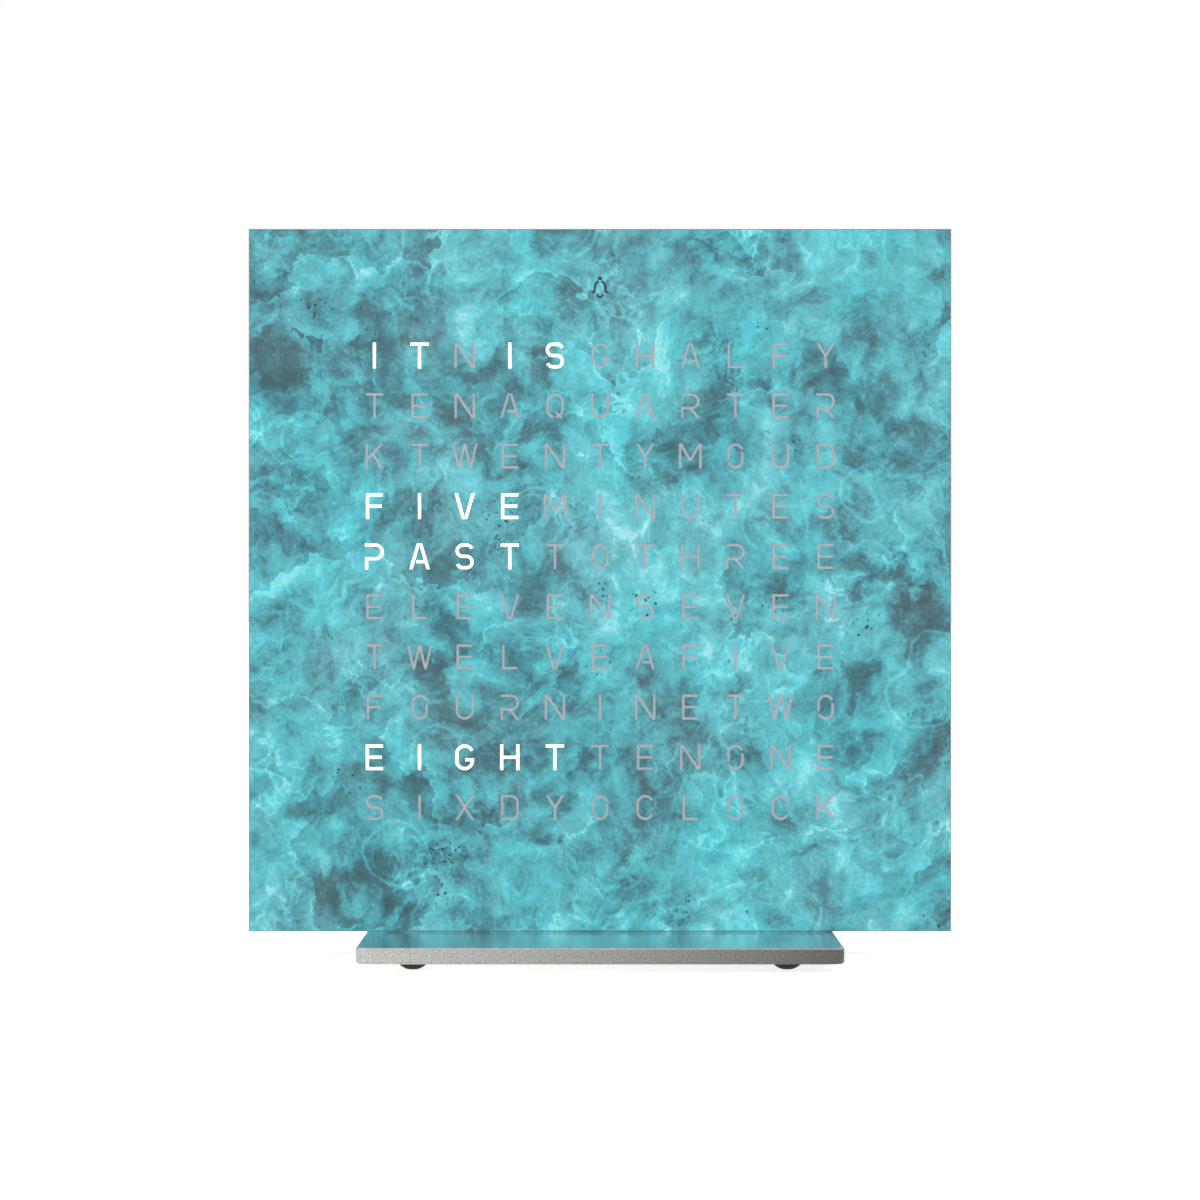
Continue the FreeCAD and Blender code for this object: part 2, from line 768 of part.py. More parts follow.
def make_film():
    """One sheet behind the plate that spreads the light, from below the field to above the bell."""
    body = new_body("diffuser_film")
    sketch = new_sketch(body, "XZ_Plane")
    reach = "field_half + film_margin"
    low = "field_low - film_margin"
    high = "bell_place + bell_height / 2 + film_margin"
    draw_outline(sketch, [(f"-({reach})", low), (reach, low), (reach, high), (f"-({reach})", high)])
    pad(body, sketch, "film_thick", back=True)
    place(body, y=behind("plate_thick"), z="panel_mid")
    return keep(body, "diffuser_film")


CORNERS = [(side, end) for side in (-1, 1) for end in (-1, 1)]


def at_posts(side, end):
    """The middle of one corner post of the housing."""
    return f"{side} * post_mid", f"panel_mid + {end} * post_mid"


def make_strikers():
    discs = []
    for side, end in CORNERS:
        x, z = at_posts(side, end)
        discs.append(rod("striker", "striker_width", "film_thick", x, behind("plate_thick"), z))
    return keep(group("cover_strikers", discs), "cover_strikers")


# The housing: a frame with corner posts, a ledge for the light unit and bosses for the stand.


def inner_outline(half, notch):
    """A square outline with a square notch at each corner, counter-clockwise from lower left."""
    corners = []
    for x, z in ((-1, -1), (1, -1), (1, 1), (-1, 1)):
        level = (f"{x} * ({notch})", f"{z} * ({half})")
        corner = (f"{x} * ({notch})", f"{z} * ({notch})")
        upright = (f"{x} * ({half})", f"{z} * ({notch})")
        corners.extend([upright, corner, level] if x == z else [level, corner, upright])
    return corners


def make_housing():
    body = new_body("housing_frame")
    outer = new_sketch(body, "XZ_Plane")
    draw_rectangle(outer, "housing_side", "housing_side")
    pad(body, outer, "cover_front - unit_front", back=True)
    soften(body, "Fillet", lambda edge: runs_along(edge, Y_AXIS), "housing_corner")
    room = new_sketch(body, "XZ_Plane")
    draw_outline(room, inner_outline("room_half", "post_half"))
    cut(body, room, "cover_front - unit_front")

    ledge = new_sketch(body, "XZ_Plane", "-(board_back - unit_front)")
    draw_outline(ledge, inner_outline("room_half", "post_half"))
    draw_outline(ledge, inner_outline("room_half - ledge_wide", "post_half - ledge_wide"))
    pad(body, ledge, "ledge_thick", back=True)

    bosses = new_sketch(body, "XZ_Plane", "-(board_back - unit_front)")
    for side in (-1, 1):
        draw_rectangle(bosses, "boss_width", "stand_screw_grip + housing_wall",
                       f"{side} * stand_screw_spacing / 2",
                       "(stand_screw_grip + housing_wall - housing_side) / 2")
    pad(body, bosses, "rear_room", back=True)

    ears = new_sketch(body, "XZ_Plane", "-(board_back - unit_front)")
    for side, end in CORNERS:
        draw_rectangle(ears, "board_boss", "board_boss",
                       f"{side} * (room_half - board_boss / 2)", f"{end} * board_screw_z")
    pad(body, ears, "board_screw_grip + ledge_thick", back=True)
    pilots = new_sketch(body, "XZ_Plane", "-(board_back - unit_front)")
    for side, end in CORNERS:
        draw_circle(pilots, "board_screw_width", f"{side} * board_screw_x", f"{end} * board_screw_z")
    cut(body, pilots, "board_screw_grip")

    for side in (-1, 1):
        across = f"{side} * stand_screw_spacing / 2"
        up = "screw_lane - unit_front"
        bore = new_sketch(body, "XY_Plane", "-housing_side / 2")
        draw_circle(bore, "insert_width", across, up)
        cut(body, bore, "housing_wall + stand_screw_grip", back=True)

    for side, end in CORNERS:
        seat = new_sketch(body, "XZ_Plane")
        draw_circle(seat, "magnet_width + 2 * magnet_clear", f"{side} * post_mid", f"{end} * post_mid")
        cut(body, seat, "magnet_thick")
        pilot = new_sketch(body, "XZ_Plane", "-(cover_front - unit_front)")
        draw_circle(pilot, "cover_screw_width", f"{side} * post_mid", f"{end} * post_mid")
        cut(body, pilot, "cover_screw_grip", back=True)
    place(body, y=behind("unit_front"), z="panel_mid")
    return keep(body, "housing_frame")


def make_inserts():
    """Brass inserts in the bosses, threaded for the stand's screws."""
    inserts = []
    for name, side in (("insert_left", -1), ("insert_right", 1)):
        sleeve = doc.addObject("Part::Cylinder", name + "_sleeve")
        bind(sleeve, Radius="insert_width / 2", Height="housing_wall + stand_screw_grip")
        thread = doc.addObject("Part::Cylinder", name + "_thread")
        bind(thread, Radius="stand_screw_width / 2", Height="housing_wall + stand_screw_grip")
        insert = less(name, sleeve, [thread])
        place(insert, f"{side} * stand_screw_spacing / 2", behind("screw_lane"), "housing_low")
        inserts.append(insert)
    return keep(group("threaded_inserts", inserts), "threaded_inserts")


def make_magnets():
    discs = []
    for side, end in CORNERS:
        x, z = at_posts(side, end)
        discs.append(rod("magnet", "magnet_width", "magnet_thick", x, behind("unit_front"), z))
    return keep(group("magnets", discs), "magnets")


# The light unit: a grid of black walls in front of a board with one lamp to each letter.


def notched_wire(half, notch):
    """The outline of the grid and the board, which leave room for the corner posts."""
    points = []
    for x, z in ((-1, -1), (1, -1), (1, 1), (-1, 1)):
        corner = [(x * half, z * notch), (x * notch, z * notch), (x * notch, z * half)]
        points.extend(corner if x == z else corner[::-1])
    points.append(points[0])
    return Part.makePolygon([FreeCAD.Vector(a, 0, b) for a, b in points])


room_half = size("panel_side") / 2 - size("housing_inset") - size("housing_wall")
unit_half = room_half - size("unit_clear")
notch_half = room_half - size("post_side") - size("unit_clear")
screw_reach = room_half - size("board_screw_inset")
screw_holes = [(side * screw_reach, end * 0.5 * notch_half) for side, end in CORNERS]


def round_wire(width, x, z):
    return Part.Wire(Part.makeCircle(width / 2, FreeCAD.Vector(x, 0, z), Y_AXIS))


def make_grid():
    cell_wide = column_pitch - size("grid_wall")
    cell_high = row_pitch - size("grid_wall")
    holes = []
    for row in range(len(ROWS)):
        for column in range(COLUMNS):
            middle = cell_place(row, column)
            holes.append(rectangle_wire(cell_wide, cell_high, middle.x, middle.z))
    bell_up = size("panel_side") / 2 - size("bell_below_top")
    bell_window = size("bell_height") + 2 * size("bell_window_margin")
    holes.append(rectangle_wire(bell_window, bell_window, 0, bell_up))
    for x, z in screw_holes:
        holes.append(round_wire(size("board_screw_width") + 2 * size("screw_clear"), x, z))
    outline = flat_drawing("light_grid_outline", face_with_holes(notched_wire(unit_half, notch_half), holes))
    grid = extruded("light_grid_blank", outline, "grid_depth")
    sinks = []
    for side, end in CORNERS:
        sinks.append(rod("light_grid_sink", "board_head_width + 2 * screw_clear", "board_head_high",
                         f"{side} * board_screw_x", "0", f"{end} * board_screw_z"))
    made = less("light_grid", grid, sinks)
    place(made, y=behind("unit_front"), z="panel_mid")
    return keep(made, "light_grid")


def make_board():
    holes = [round_wire(size("board_screw_width") + 2 * size("screw_clear"), x, z)
             for x, z in screw_holes]
    outline = flat_drawing("led_board_outline", face_with_holes(notched_wire(unit_half, notch_half), holes))
    board = extruded("led_board", outline, "board_thick")
    place(board, y=behind("board_front"), z="panel_mid")
    return keep(board, "led_board")


def make_lamps():
    spots = [cell_place(row, column) for row in range(len(ROWS)) for column in range(COLUMNS)]
    spots.append(FreeCAD.Vector(0, 0, size("panel_side") / 2 - size("bell_below_top")))
    flats = [Part.Face(rectangle_wire(size("lamp_long"), size("lamp_wide"), spot.x, spot.z))
             for spot in spots]
    drawing = flat_drawing("matrix_leds_outline", Part.makeCompound(flats))
    lamps = extruded("matrix_leds", drawing, "lamp_high")
    place(lamps, y=behind("board_front - lamp_high"), z="panel_mid")
    return keep(lamps, "matrix_leds")


def make_board_screws():
    """Cylinder-head screws from the front, through the grid and the board, into the ears."""
    screws = []
    for number, (side, end) in enumerate(CORNERS, start=1):
        made = screw(f"board_screw_{number}", "board_screw_width", "board_head_width",
                     "board_head_high",
                     "board_back - unit_front + board_screw_grip - screw_tip - board_head_high",
                     "board_socket", f"{side} * board_screw_x", behind("unit_front"),
                     f"panel_mid + {end} * board_screw_z", FACING_BACK, sunk=False)
        screws.append(made)
    return keep(group("board_screws", screws), "board_screws")


# What stands on the back of the board.


def on_board(name, wide, thick, high, x, z):
    """A block on the back of the board, its place measured from the middle of the face."""
    return keep(block(name, wide, thick, high, x, behind("board_back"), f"panel_mid + ({z})"), name)


def make_group_on_board(name, wide, thick, high, spots):
    members = [block(name + "_one", wide, thick, high, x, behind("board_back"), f"panel_mid + ({z})")
               for x, z in spots]
    return keep(group(name, members), name)


def make_cell_and_holder():
    """A coin cell lying in a cup on the board."""
    x, z = "cell_across", "panel_mid + cell_up"
    cup = rod("cell_cup", "cell_width + 2 * (holder_clear + holder_wall)",
              "holder_floor + cell_thick - holder_lip", x, behind("board_back"), z)
    room = rod("cell_room", "cell_width + 2 * holder_clear", "cell_thick", x,
               behind("board_back + holder_floor"), z)
    notch = block("cell_notch", "holder_notch", "cell_thick", "holder_notch",
                  x, behind("board_back + holder_floor"), f"{z} + cell_width / 2")
    keep(less("cell_holder", cup, [room, notch]), "cell_holder")
    cell = rod("coin_cell_blank", "cell_width", "cell_thick", x, behind("board_back + holder_floor"), z)
    rim = doc.addObject("Part::Fillet", "coin_cell")
    doc.recompute()
    rim.Base = cell
    rim.Edges = [(k, size("cell_break"), size("cell_break"))
                 for k, edge in enumerate(cell.Shape.Edges, start=1)
                 if edge.Curve.TypeId == "Part::GeomCircle"]
    return keep(rim, "coin_cell")


def make_sounder():
    """A round sounder with a port in its lid, facing the grille in the rear cover."""
    body = new_body("sounder")
    sketch = new_sketch(body, "XZ_Plane")
    draw_circle(sketch, "sounder_width")
    pad(body, sketch, "sounder_high", back=True)
    port = new_sketch(body, "XZ_Plane", "-sounder_high")
    draw_circle(port, "sounder_port")
    cut(body, port, "sounder_port_deep", back=True)
    place(body, "sounder_across", behind("board_back"), "panel_mid + sounder_up")
    return keep(body, "sounder")


def make_inlet():
    """A round power inlet: a square body on the board and a collar that fills the cover's hole."""
    body = new_body("power_inlet")
    square = new_sketch(body, "XZ_Plane")
    draw_rectangle(square, "inlet_side", "inlet_side")
    pad(body, square, "rear_room - inlet_clear", back=True)
    collar = new_sketch(body, "XZ_Plane")
    draw_circle(collar, "inlet_collar")
    pad(body, collar, "rear_room + cover_thick", back=True)
    bore = new_sketch(body, "XZ_Plane", "-(rear_room + cover_thick)")
    draw_circle(bore, "inlet_bore")
    cut(body, bore, "rear_room + cover_thick - inlet_floor", back=True)
    place(body, y=behind("board_back"), z="panel_mid + inlet_place")
    keep(body, "power_inlet")
    pin = new_body("inlet_pin")
    shaft = new_sketch(pin, "XZ_Plane")
    draw_circle(shaft, "inlet_pin")
    pad(pin, shaft, "rear_room + cover_thick - inlet_floor - inlet_pin_recess", back=True)
    soften(pin, "Fillet", at_back(pin), "0.3 * inlet_pin")
    place(pin, y=behind("board_back + inlet_floor"), z="panel_mid + inlet_place")
    return keep(pin, "inlet_pin")


def make_touch_strip():
    """A copper strip inside the top wall, with a leg down to the board."""
    high = "panel_mid + room_half"
    long = "2 * (post_half - ledge_wide - touch_margin)"
    strip = block("touch_leaf", long, "touch_wide", "touch_thick", "0",
                  behind("board_back + ledge_thick"), f"{high} - touch_thick / 2")
    leg = block("touch_leg", "touch_tab", "touch_thick", "touch_reach", "0",
                behind("board_back + ledge_thick"), f"{high} - touch_reach / 2")
    toe = block("touch_toe", "touch_tab", "ledge_thick + touch_thick", "touch_thick", "0",
                behind("board_back"), f"{high} - touch_reach + touch_thick / 2")
    return keep(join("touch_strip", [strip, leg, toe]), "touch_strip")


# The buttons: a switch on the board, its plunger, and the cap that stands out of the cover.

BUTTONS = [("hours", 1), ("minutes", 0), ("alarm", -1)]


def button_spot(step):
    return "button_place", f"button_above + {step} * button_pitch"


def make_button(name, step):
    x, up = button_spot(step)
    z = f"panel_mid + ({up})"
    flange_back = "cover_front - rest_gap"
    flange_front = f"{flange_back} - flange_thick"
    case = block(name + "_case", "switch_side", "switch_high", "switch_side", x,
                 behind("board_back"), z)
    well = rod(name + "_well", "plunger_width + 2 * plunger_clear", "switch_high - switch_floor", x,
               behind("board_back + switch_floor"), z)
    keep(less(name + "_switch", case, [well]), name + "_switch")
    start = "board_back + switch_floor + button_travel + plunger_clear"
    plunger = rod(name + "_plunger", "plunger_width", f"{flange_front} - ({start})", x,
                  behind(start), z)
    keep(plunger, name + "_plunger")

    body = new_body(name + "_button")
    sketch = new_sketch(body, "XZ_Plane")
    draw_circle(sketch, "flange_width")
    pad(body, sketch, "flange_thick", back=True)
    cap = new_sketch(body, "XZ_Plane")
    draw_circle(cap, "button_width")
    pad(body, cap, "flange_thick + rest_gap + cover_thick + button_proud", back=True)
    soften(body, "Fillet", at_back(body), "0.5 * button_proud")
    place(body, x, behind(flange_front), z)
    return keep(body, name + "_button")


# The rear cover and its screws.


def make_rear_cover():
    body = new_body("rear_cover")
    sketch = new_sketch(body, "XZ_Plane")
    draw_rectangle(sketch, "housing_side", "housing_side")
    pad(body, sketch, "cover_thick", back=True)
    soften(body, "Fillet", lambda edge: runs_along(edge, Y_AXIS), "housing_corner")
    soften(body, "Chamfer", at_back(body), "cover_break")
    holes = new_sketch(body, "XZ_Plane")
    draw_circle(holes, "inlet_collar + 2 * inlet_clear", "0", "inlet_place")
    for name, step in BUTTONS:
        x, up = button_spot(step)
        draw_circle(holes, "button_width + 2 * button_clear", x, up)
    draw_circle(holes, "grille_hole", "sounder_across", "sounder_up")
    for step in range(6):
        turned = math.radians(60 * step)
        draw_circle(holes, "grille_hole", f"sounder_across + grille_radius * {math.cos(turned):.6f}",
                    f"sounder_up + grille_radius * {math.sin(turned):.6f}")
    for side, end in CORNERS:
        draw_circle(holes, "cover_screw_width + 2 * screw_clear", f"{side} * post_mid", f"{end} * post_mid")
    cut(body, holes, "cover_thick")
    for side, end in CORNERS:
        sink = body.newObject("PartDesign::SubtractiveCone", "rear_cover_sink")
        sink.Placement = FreeCAD.Placement(FreeCAD.Vector(), FreeCAD.Rotation(X_AXIS, 90))
        bind(sink, Radius1="cover_head_width / 2 + screw_clear",
             Radius2="cover_screw_width / 2 + screw_clear",
             Height="(cover_head_width - cover_screw_width) / 2")
        place(sink, f"{side} * post_mid", "cover_thick", f"{end} * post_mid")
        doc.recompute()
    place(body, y=behind("cover_front"), z="panel_mid")
    return keep(body, "rear_cover")


def make_cover_screws():
    screws = []
    head_high = "(cover_head_width - cover_screw_width) / 2"
    grip = f"cover_thick - {head_high} + cover_screw_grip - screw_tip"
    for number, (side, end) in enumerate(CORNERS, start=1):
        x, z = at_posts(side, end)
        screws.append(screw(f"cover_screw_{number}", "cover_screw_width", "cover_head_width",
                            head_high, grip, "cover_socket", x, behind("panel_depth"), z,
                            FreeCAD.Rotation(X_AXIS, 90)))
    return keep(group("cover_screws", screws), "cover_screws")


make_base_plate()
for side, side_name in ((-1, "left"), (1, "right")):
    for end, end_name in ((-1, "front"), (1, "rear")):
        make_foot(f"foot_{end_name}_{side_name}", side, end)
make_mount_block()
make_stand_screws()
make_front_plate()
make_inlay("letters_lit", lit_faces)
make_inlay("letters_unlit", unlit_faces)
make_inlay("bell_inlay", bell_faces)
make_film()
make_strikers()
make_housing()
make_inserts()
make_magnets()
make_grid()
make_board()
make_lamps()
make_board_screws()
on_board("microcontroller", "chip_side", "chip_thick", "chip_side", "0", "chip_above")
make_group_on_board("led_drivers", "driver_long", "driver_thick", "driver_wide",
                    [(f"{step} * driver_pitch", "-driver_below") for step in (-1, 0, 1)])
on_board("clock_crystal", "crystal_long", "crystal_high", "crystal_wide", "0", "crystal_above")
make_cell_and_holder()
make_sounder()
make_group_on_board("capacitors", "capacitor_width", "capacitor_high", "capacitor_width",
                    [(f"supply_aside + {step} * capacitor_pitch", "inlet_place") for step in (0, 1)])
on_board("voltage_regulator", "regulator_long", "regulator_thick", "regulator_wide",
         "-supply_aside", "inlet_place")
make_inlet()
make_touch_strip()
for name, step in BUTTONS:
    make_button(name, step)
make_rear_cover()
make_cover_screws()

doc.recompute()
for item in doc.Objects:
    if "Invalid" in item.State or "Error" in item.State:
        raise RuntimeError(f"{item.Name} failed: {item.State}")
for part in parts:
    if part.Shape.isNull() or not part.Shape.isValid():
        raise RuntimeError(f"{part.Label} has no sound shape")

os.makedirs("parts", exist_ok=True)
for part in parts:
    part.Shape.exportStep(f"parts/{part.Label}.step")
    box = part.Shape.BoundBox
    print(f"{part.Label}: {len(part.Shape.Solids)} solids, {box.XLength:.2f} x {box.YLength:.2f}"
          f" x {box.ZLength:.2f} mm, low z {box.ZMin:.2f}, y {box.YMin:.2f} to {box.YMax:.2f}")
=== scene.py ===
# %% [markdown]
# # A square word clock on a steel base plate
# The clock is a thin box behind a patinated steel face. Letters are cut through the face, and
# the words that tell the time are lit from behind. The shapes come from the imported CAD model,
# and this script gives them their finishes, adds the small things, lights them and sets the
# camera. All lengths are in metres, in the frame of the CAD model.

# %% The frame
import json
import math

import bmesh
import bpy
from mathutils import Matrix, Vector


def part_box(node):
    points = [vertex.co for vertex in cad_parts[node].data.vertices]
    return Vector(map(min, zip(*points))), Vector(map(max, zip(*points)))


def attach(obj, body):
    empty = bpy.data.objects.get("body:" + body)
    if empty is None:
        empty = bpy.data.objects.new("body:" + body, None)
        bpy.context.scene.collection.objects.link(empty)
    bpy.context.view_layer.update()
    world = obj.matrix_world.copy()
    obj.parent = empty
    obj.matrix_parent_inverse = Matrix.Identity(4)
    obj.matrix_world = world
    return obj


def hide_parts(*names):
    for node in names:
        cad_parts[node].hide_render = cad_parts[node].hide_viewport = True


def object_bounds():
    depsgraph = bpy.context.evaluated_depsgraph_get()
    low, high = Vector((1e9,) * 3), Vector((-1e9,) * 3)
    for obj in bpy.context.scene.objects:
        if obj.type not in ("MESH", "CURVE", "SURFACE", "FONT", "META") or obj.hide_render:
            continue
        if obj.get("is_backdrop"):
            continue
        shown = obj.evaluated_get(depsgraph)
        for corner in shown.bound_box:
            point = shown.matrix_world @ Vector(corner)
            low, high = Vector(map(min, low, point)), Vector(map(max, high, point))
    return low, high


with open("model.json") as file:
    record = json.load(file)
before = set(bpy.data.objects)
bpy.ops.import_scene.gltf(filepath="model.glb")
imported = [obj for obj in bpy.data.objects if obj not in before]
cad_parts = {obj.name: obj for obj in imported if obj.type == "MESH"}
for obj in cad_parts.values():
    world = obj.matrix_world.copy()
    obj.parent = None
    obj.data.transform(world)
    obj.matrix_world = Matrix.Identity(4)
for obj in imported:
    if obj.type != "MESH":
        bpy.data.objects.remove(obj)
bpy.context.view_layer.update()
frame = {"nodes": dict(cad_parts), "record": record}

nodes = frame["nodes"]
MM = 0.001
face_low, face_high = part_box("front_plate")
base_low, base_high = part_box("base_plate")

# %% [markdown]
# ## The camera
# The photograph is taken from straight in front, at half the height of the clock, with a long
# lens: the sides of the base plate run together only a little. A camera that looks level along
# +Y has upright lines that stay upright. Its height puts the middle of the picture a little
# under the middle of the face.

# %% Camera
CAMERA_DISTANCE = 0.809
CAMERA_HEIGHT = 0.0686
LENS = 124.9
SENSOR_WIDTH = 36.0
camera_data = bpy.data.cameras.new("camera")
camera_data.sensor_width = SENSOR_WIDTH
camera_data.lens = LENS
camera_data.clip_start, camera_data.clip_end = 0.02, 60.0
camera = bpy.data.objects.new("camera", camera_data)
camera.location = (0.0, -CAMERA_DISTANCE, CAMERA_HEIGHT)
camera.rotation_euler = (math.radians(90), 0.0, 0.0)
bpy.context.scene.collection.objects.link(camera)
bpy.context.scene.camera = camera
print("camera looks level from", tuple(round(v, 3) for v in camera.location))

# %% [markdown]
# ## Colours
# A colour picked from a picture is in sRGB, and Blender's sockets want linear light, so one
# helper turns the usual 0 to 255 numbers into what the sockets take.


# %% Colour helper
def linear(level):
    share = level / 255
    return share / 12.92 if share <= 0.04045 else ((share + 0.055) / 1.055) ** 2.4


def paint(red, green, blue):
    return (linear(red), linear(green), linear(blue), 1.0)


WHITE = (1.0, 1.0, 1.0, 1.0)
print("middle grey in linear light:", [round(v, 3) for v in paint(128, 128, 128)])

# %% [markdown]
# ## Building finishes from nodes
# Every finish is a small graph: a place on the piece goes into noises, the noises into ramps,
# and the ramps into the shader. Wiring each node by hand takes four lines, so a small class
# does it: it starts a material and has one method for each kind of node that is used here.
# All patterns start from Object coordinates, which stay with the piece when it moves.


# %% Finish class
class Finish:
    def __init__(self, name, colour, roughness, metallic=0.0):
        self.material = bpy.data.materials.new(name)
        self.material.use_nodes = True
        self.tree = self.material.node_tree
        self.shader = self.tree.nodes["Principled BSDF"]
        self.shader.inputs["Base Color"].default_value = colour
        self.shader.inputs["Roughness"].default_value = roughness
        self.shader.inputs["Metallic"].default_value = metallic
        self.place = self.add("ShaderNodeTexCoord").outputs["Object"]

    def add(self, kind, **settings):
        made = self.tree.nodes.new(kind)
        for name, value in settings.items():
            setattr(made, name, value)
        return made

    def feed(self, socket, value):
        """Link a socket to another node's output, or give it a plain value."""
        if isinstance(value, bpy.types.NodeSocket):
            self.tree.links.new(value, socket)
        else:
            socket.default_value = value

    def math(self, operation, first, second=0.0, third=0.0):
        made = self.add("ShaderNodeMath", operation=operation)
        for socket, value in zip(made.inputs, (first, second, third)):
            self.feed(socket, value)
        return made.outputs[0]

    def vector(self, operation, first, second=(0.0, 0.0, 0.0), scale=1.0):
        made = self.add("ShaderNodeVectorMath", operation=operation)
        self.feed(made.inputs[0], first)
        self.feed(made.inputs[1], second)
        self.feed(made.inputs[3], scale)
        return made.outputs["Value" if operation == "DISTANCE" else "Vector"]

    def moved(self, offset=(0.0, 0.0, 0.0), scale=(1.0, 1.0, 1.0), at=None):
        made = self.add("ShaderNodeMapping")
        self.feed(made.inputs["Vector"], at or self.place)
        made.inputs["Location"].default_value = offset
        made.inputs["Scale"].default_value = scale
        return made.outputs[0]

    def noise(self, scale, detail=2.0, roughness=0.5, at=None, colour=False):
        made = self.add("ShaderNodeTexNoise")
        self.feed(made.inputs["Vector"], at or self.place)
        for name, value in (("Scale", scale), ("Detail", detail), ("Roughness", roughness)):
            made.inputs[name].default_value = value
        return made.outputs["Color" if colour else 0]

    def cells(self, scale, feature="F1", at=None, randomness=1.0, distance="EUCLIDEAN"):
        made = self.add("ShaderNodeTexVoronoi", feature=feature, distance=distance)
        self.feed(made.inputs["Vector"], at or self.place)
        made.inputs["Scale"].default_value = scale
        made.inputs["Randomness"].default_value = randomness
        return made.outputs["Distance"]

    def spread(self, value, low, high, new_low=0.0, new_high=1.0, smooth=False):
        made = self.add("ShaderNodeMapRange", interpolation_type="SMOOTHSTEP" if smooth else "LINEAR")
        for name, given in (("Value", value), ("From Min", low), ("From Max", high),
                            ("To Min", new_low), ("To Max", new_high)):
            self.feed(made.inputs[name], given)
        return made.outputs[0]

    def mix(self, share, first, second, blend="MIX"):
        made = self.add("ShaderNodeMix", data_type="RGBA", blend_type=blend)
        self.feed(made.inputs[0], share)
        self.feed(made.inputs[6], first)
        self.feed(made.inputs[7], second)
        return made.outputs[2]

    def ramp(self, value, stops):
        made = self.add("ShaderNodeValToRGB")
        self.feed(made.inputs[0], value)
        elements = made.color_ramp.elements
        while len(elements) < len(stops):
            elements.new(0.5)
        for element, (position, colour) in zip(elements, stops):
            element.position, element.color = position, colour
        return made.outputs[0]

    def part(self, vector, axis):
        """One of the three numbers of a place or a direction."""
        parts = self.add("ShaderNodeSeparateXYZ")
        self.feed(parts.inputs[0], vector)
        return parts.outputs[axis]

    def normal(self, axis):
        return self.part(self.add("ShaderNodeNewGeometry").outputs["Normal"], axis)

    def set(self, **sockets):
        for name, value in sockets.items():
            self.feed(self.shader.inputs[name.replace("_", " ").title().replace("Ior", "IOR")], value)

    def bump(self, height, depth, strength):
        made = self.add("ShaderNodeBump")
        made.inputs["Strength"].default_value = strength
        made.inputs["Distance"].default_value = depth
        self.feed(made.inputs["Height"], height)
        self.tree.links.new(made.outputs[0], self.shader.inputs["Normal"])


finishes = {}
print("ready to build finishes")

# %% [markdown]
# ## The patina: where it flows
# The face is steel that was left to corrode under a teal patina, and then sealed. The liquid
# has run and dried in clouds, so no pattern on it is straight or even. Plain noise looks like
# smoke. The trick is to push the place of each point about before any pattern reads it, with
# a slow noise, then a quicker one and then a fine one: that folds the clouds into tongues and
# curls. A noise's colour holds three numbers about 0.5, which makes a push in any direction.

# %% Patina flow
NO_PUSH = (0.5, 0.5, 0.5)
PUSHES = ((24.0, 2.0, 0.014), (120.0, 3.0, 0.007), (420.0, 3.0, 0.0016))
patina = Finish("patina_steel", paint(96, 179, 189), 0.6)


def pushed(place, scale, detail, roughness, reach, at):
    """Move a place by a noise that is read at another place."""
    push = patina.vector("SUBTRACT", patina.noise(scale, detail, roughness, at=at, colour=True), NO_PUSH)
    return patina.vector("ADD", place, patina.vector("SCALE", push, scale=reach))


flow = patina.place
for scale, detail, reach in PUSHES:
    flow = pushed(flow, scale, detail, 0.6, reach, flow)
print("the three pushes move a point by up to", [reach / 2 / MM for _, _, reach in PUSHES], "mm")

# %% [markdown]
# ## The patina: clouds and crusts
# All that follows adds up to one number, the tone: 0 is the darkest slate and 1 is the palest
# bloom. It starts in the middle. Clouds of three sizes lighten and darken it. Two noises that
# are cut off steeply make crusts, with an edge where one coat lies over another. A noise that
# is squeezed across gives upright runs, and the last one is as fine as the powder itself.


# %% Patina clouds
def layer(offset, scale, detail, roughness=0.6, at=None):
    return patina.noise(scale, detail, roughness, at=patina.moved(offset, at=at or flow))


def plus(amount, share, onto):
    return patina.math("MULTIPLY_ADD", amount, share, onto)


def centred(value):
    return patina.math("SUBTRACT", value, 0.5)


CRUSTS = (((0.45, 0.0, 0.75), 34.0, 0.13), ((0.05, 0.3, 0.55), 70.0, 0.10))
RUNS = (75.0, 8.0, 8.0)
CLOUD_OFFSET = (0.31, 0.0, 0.17)
MIDDLE_TONE = 0.53
tone = plus(centred(layer((0.0, 0.0, 0.0), 19.0, 3.0)), 0.40, MIDDLE_TONE)
tone = plus(centred(layer(CLOUD_OFFSET, 56.0, 8.0, 0.62)), 0.75, tone)
for offset, scale, lift in CRUSTS:
    crust_edge = patina.spread(layer(offset, scale, 9.0, 0.60), 0.495, 0.525, -0.5, 0.5, smooth=True)
    tone = plus(crust_edge, lift, tone)
tone = plus(centred(layer((0.13, 0.5, 0.27), 180.0, 6.0, 0.62)), 1.45, tone)
tone = plus(centred(patina.noise(1.0, 3.0, at=patina.moved(scale=RUNS))), 0.32, tone)
tone = plus(centred(patina.noise(1500.0, 3.0, 0.7)), 0.42, tone)
print("clouds, crusts, runs and powder are in the tone")

# %% [markdown]
# ## The patina: tide lines, veins and nodules
# A tide line is left where a puddle dried: it is bright on one side and fades on the other,
# which is what the sawtooth of a wrapped noise gives. A vein is a thin line where a noise
# passes its middle value. A nodule is a rounded bloom, made from a cell that is pushed out of
# round: it has a pale rim, a fainter ring inside it and a darker middle. Each of these shows
# only in some places, and a slow noise says where.


# %% Patina lines
def some_places(offset, scale, low, high):
    return patina.spread(layer(offset, scale, 2.0, at=patina.place), low, high)


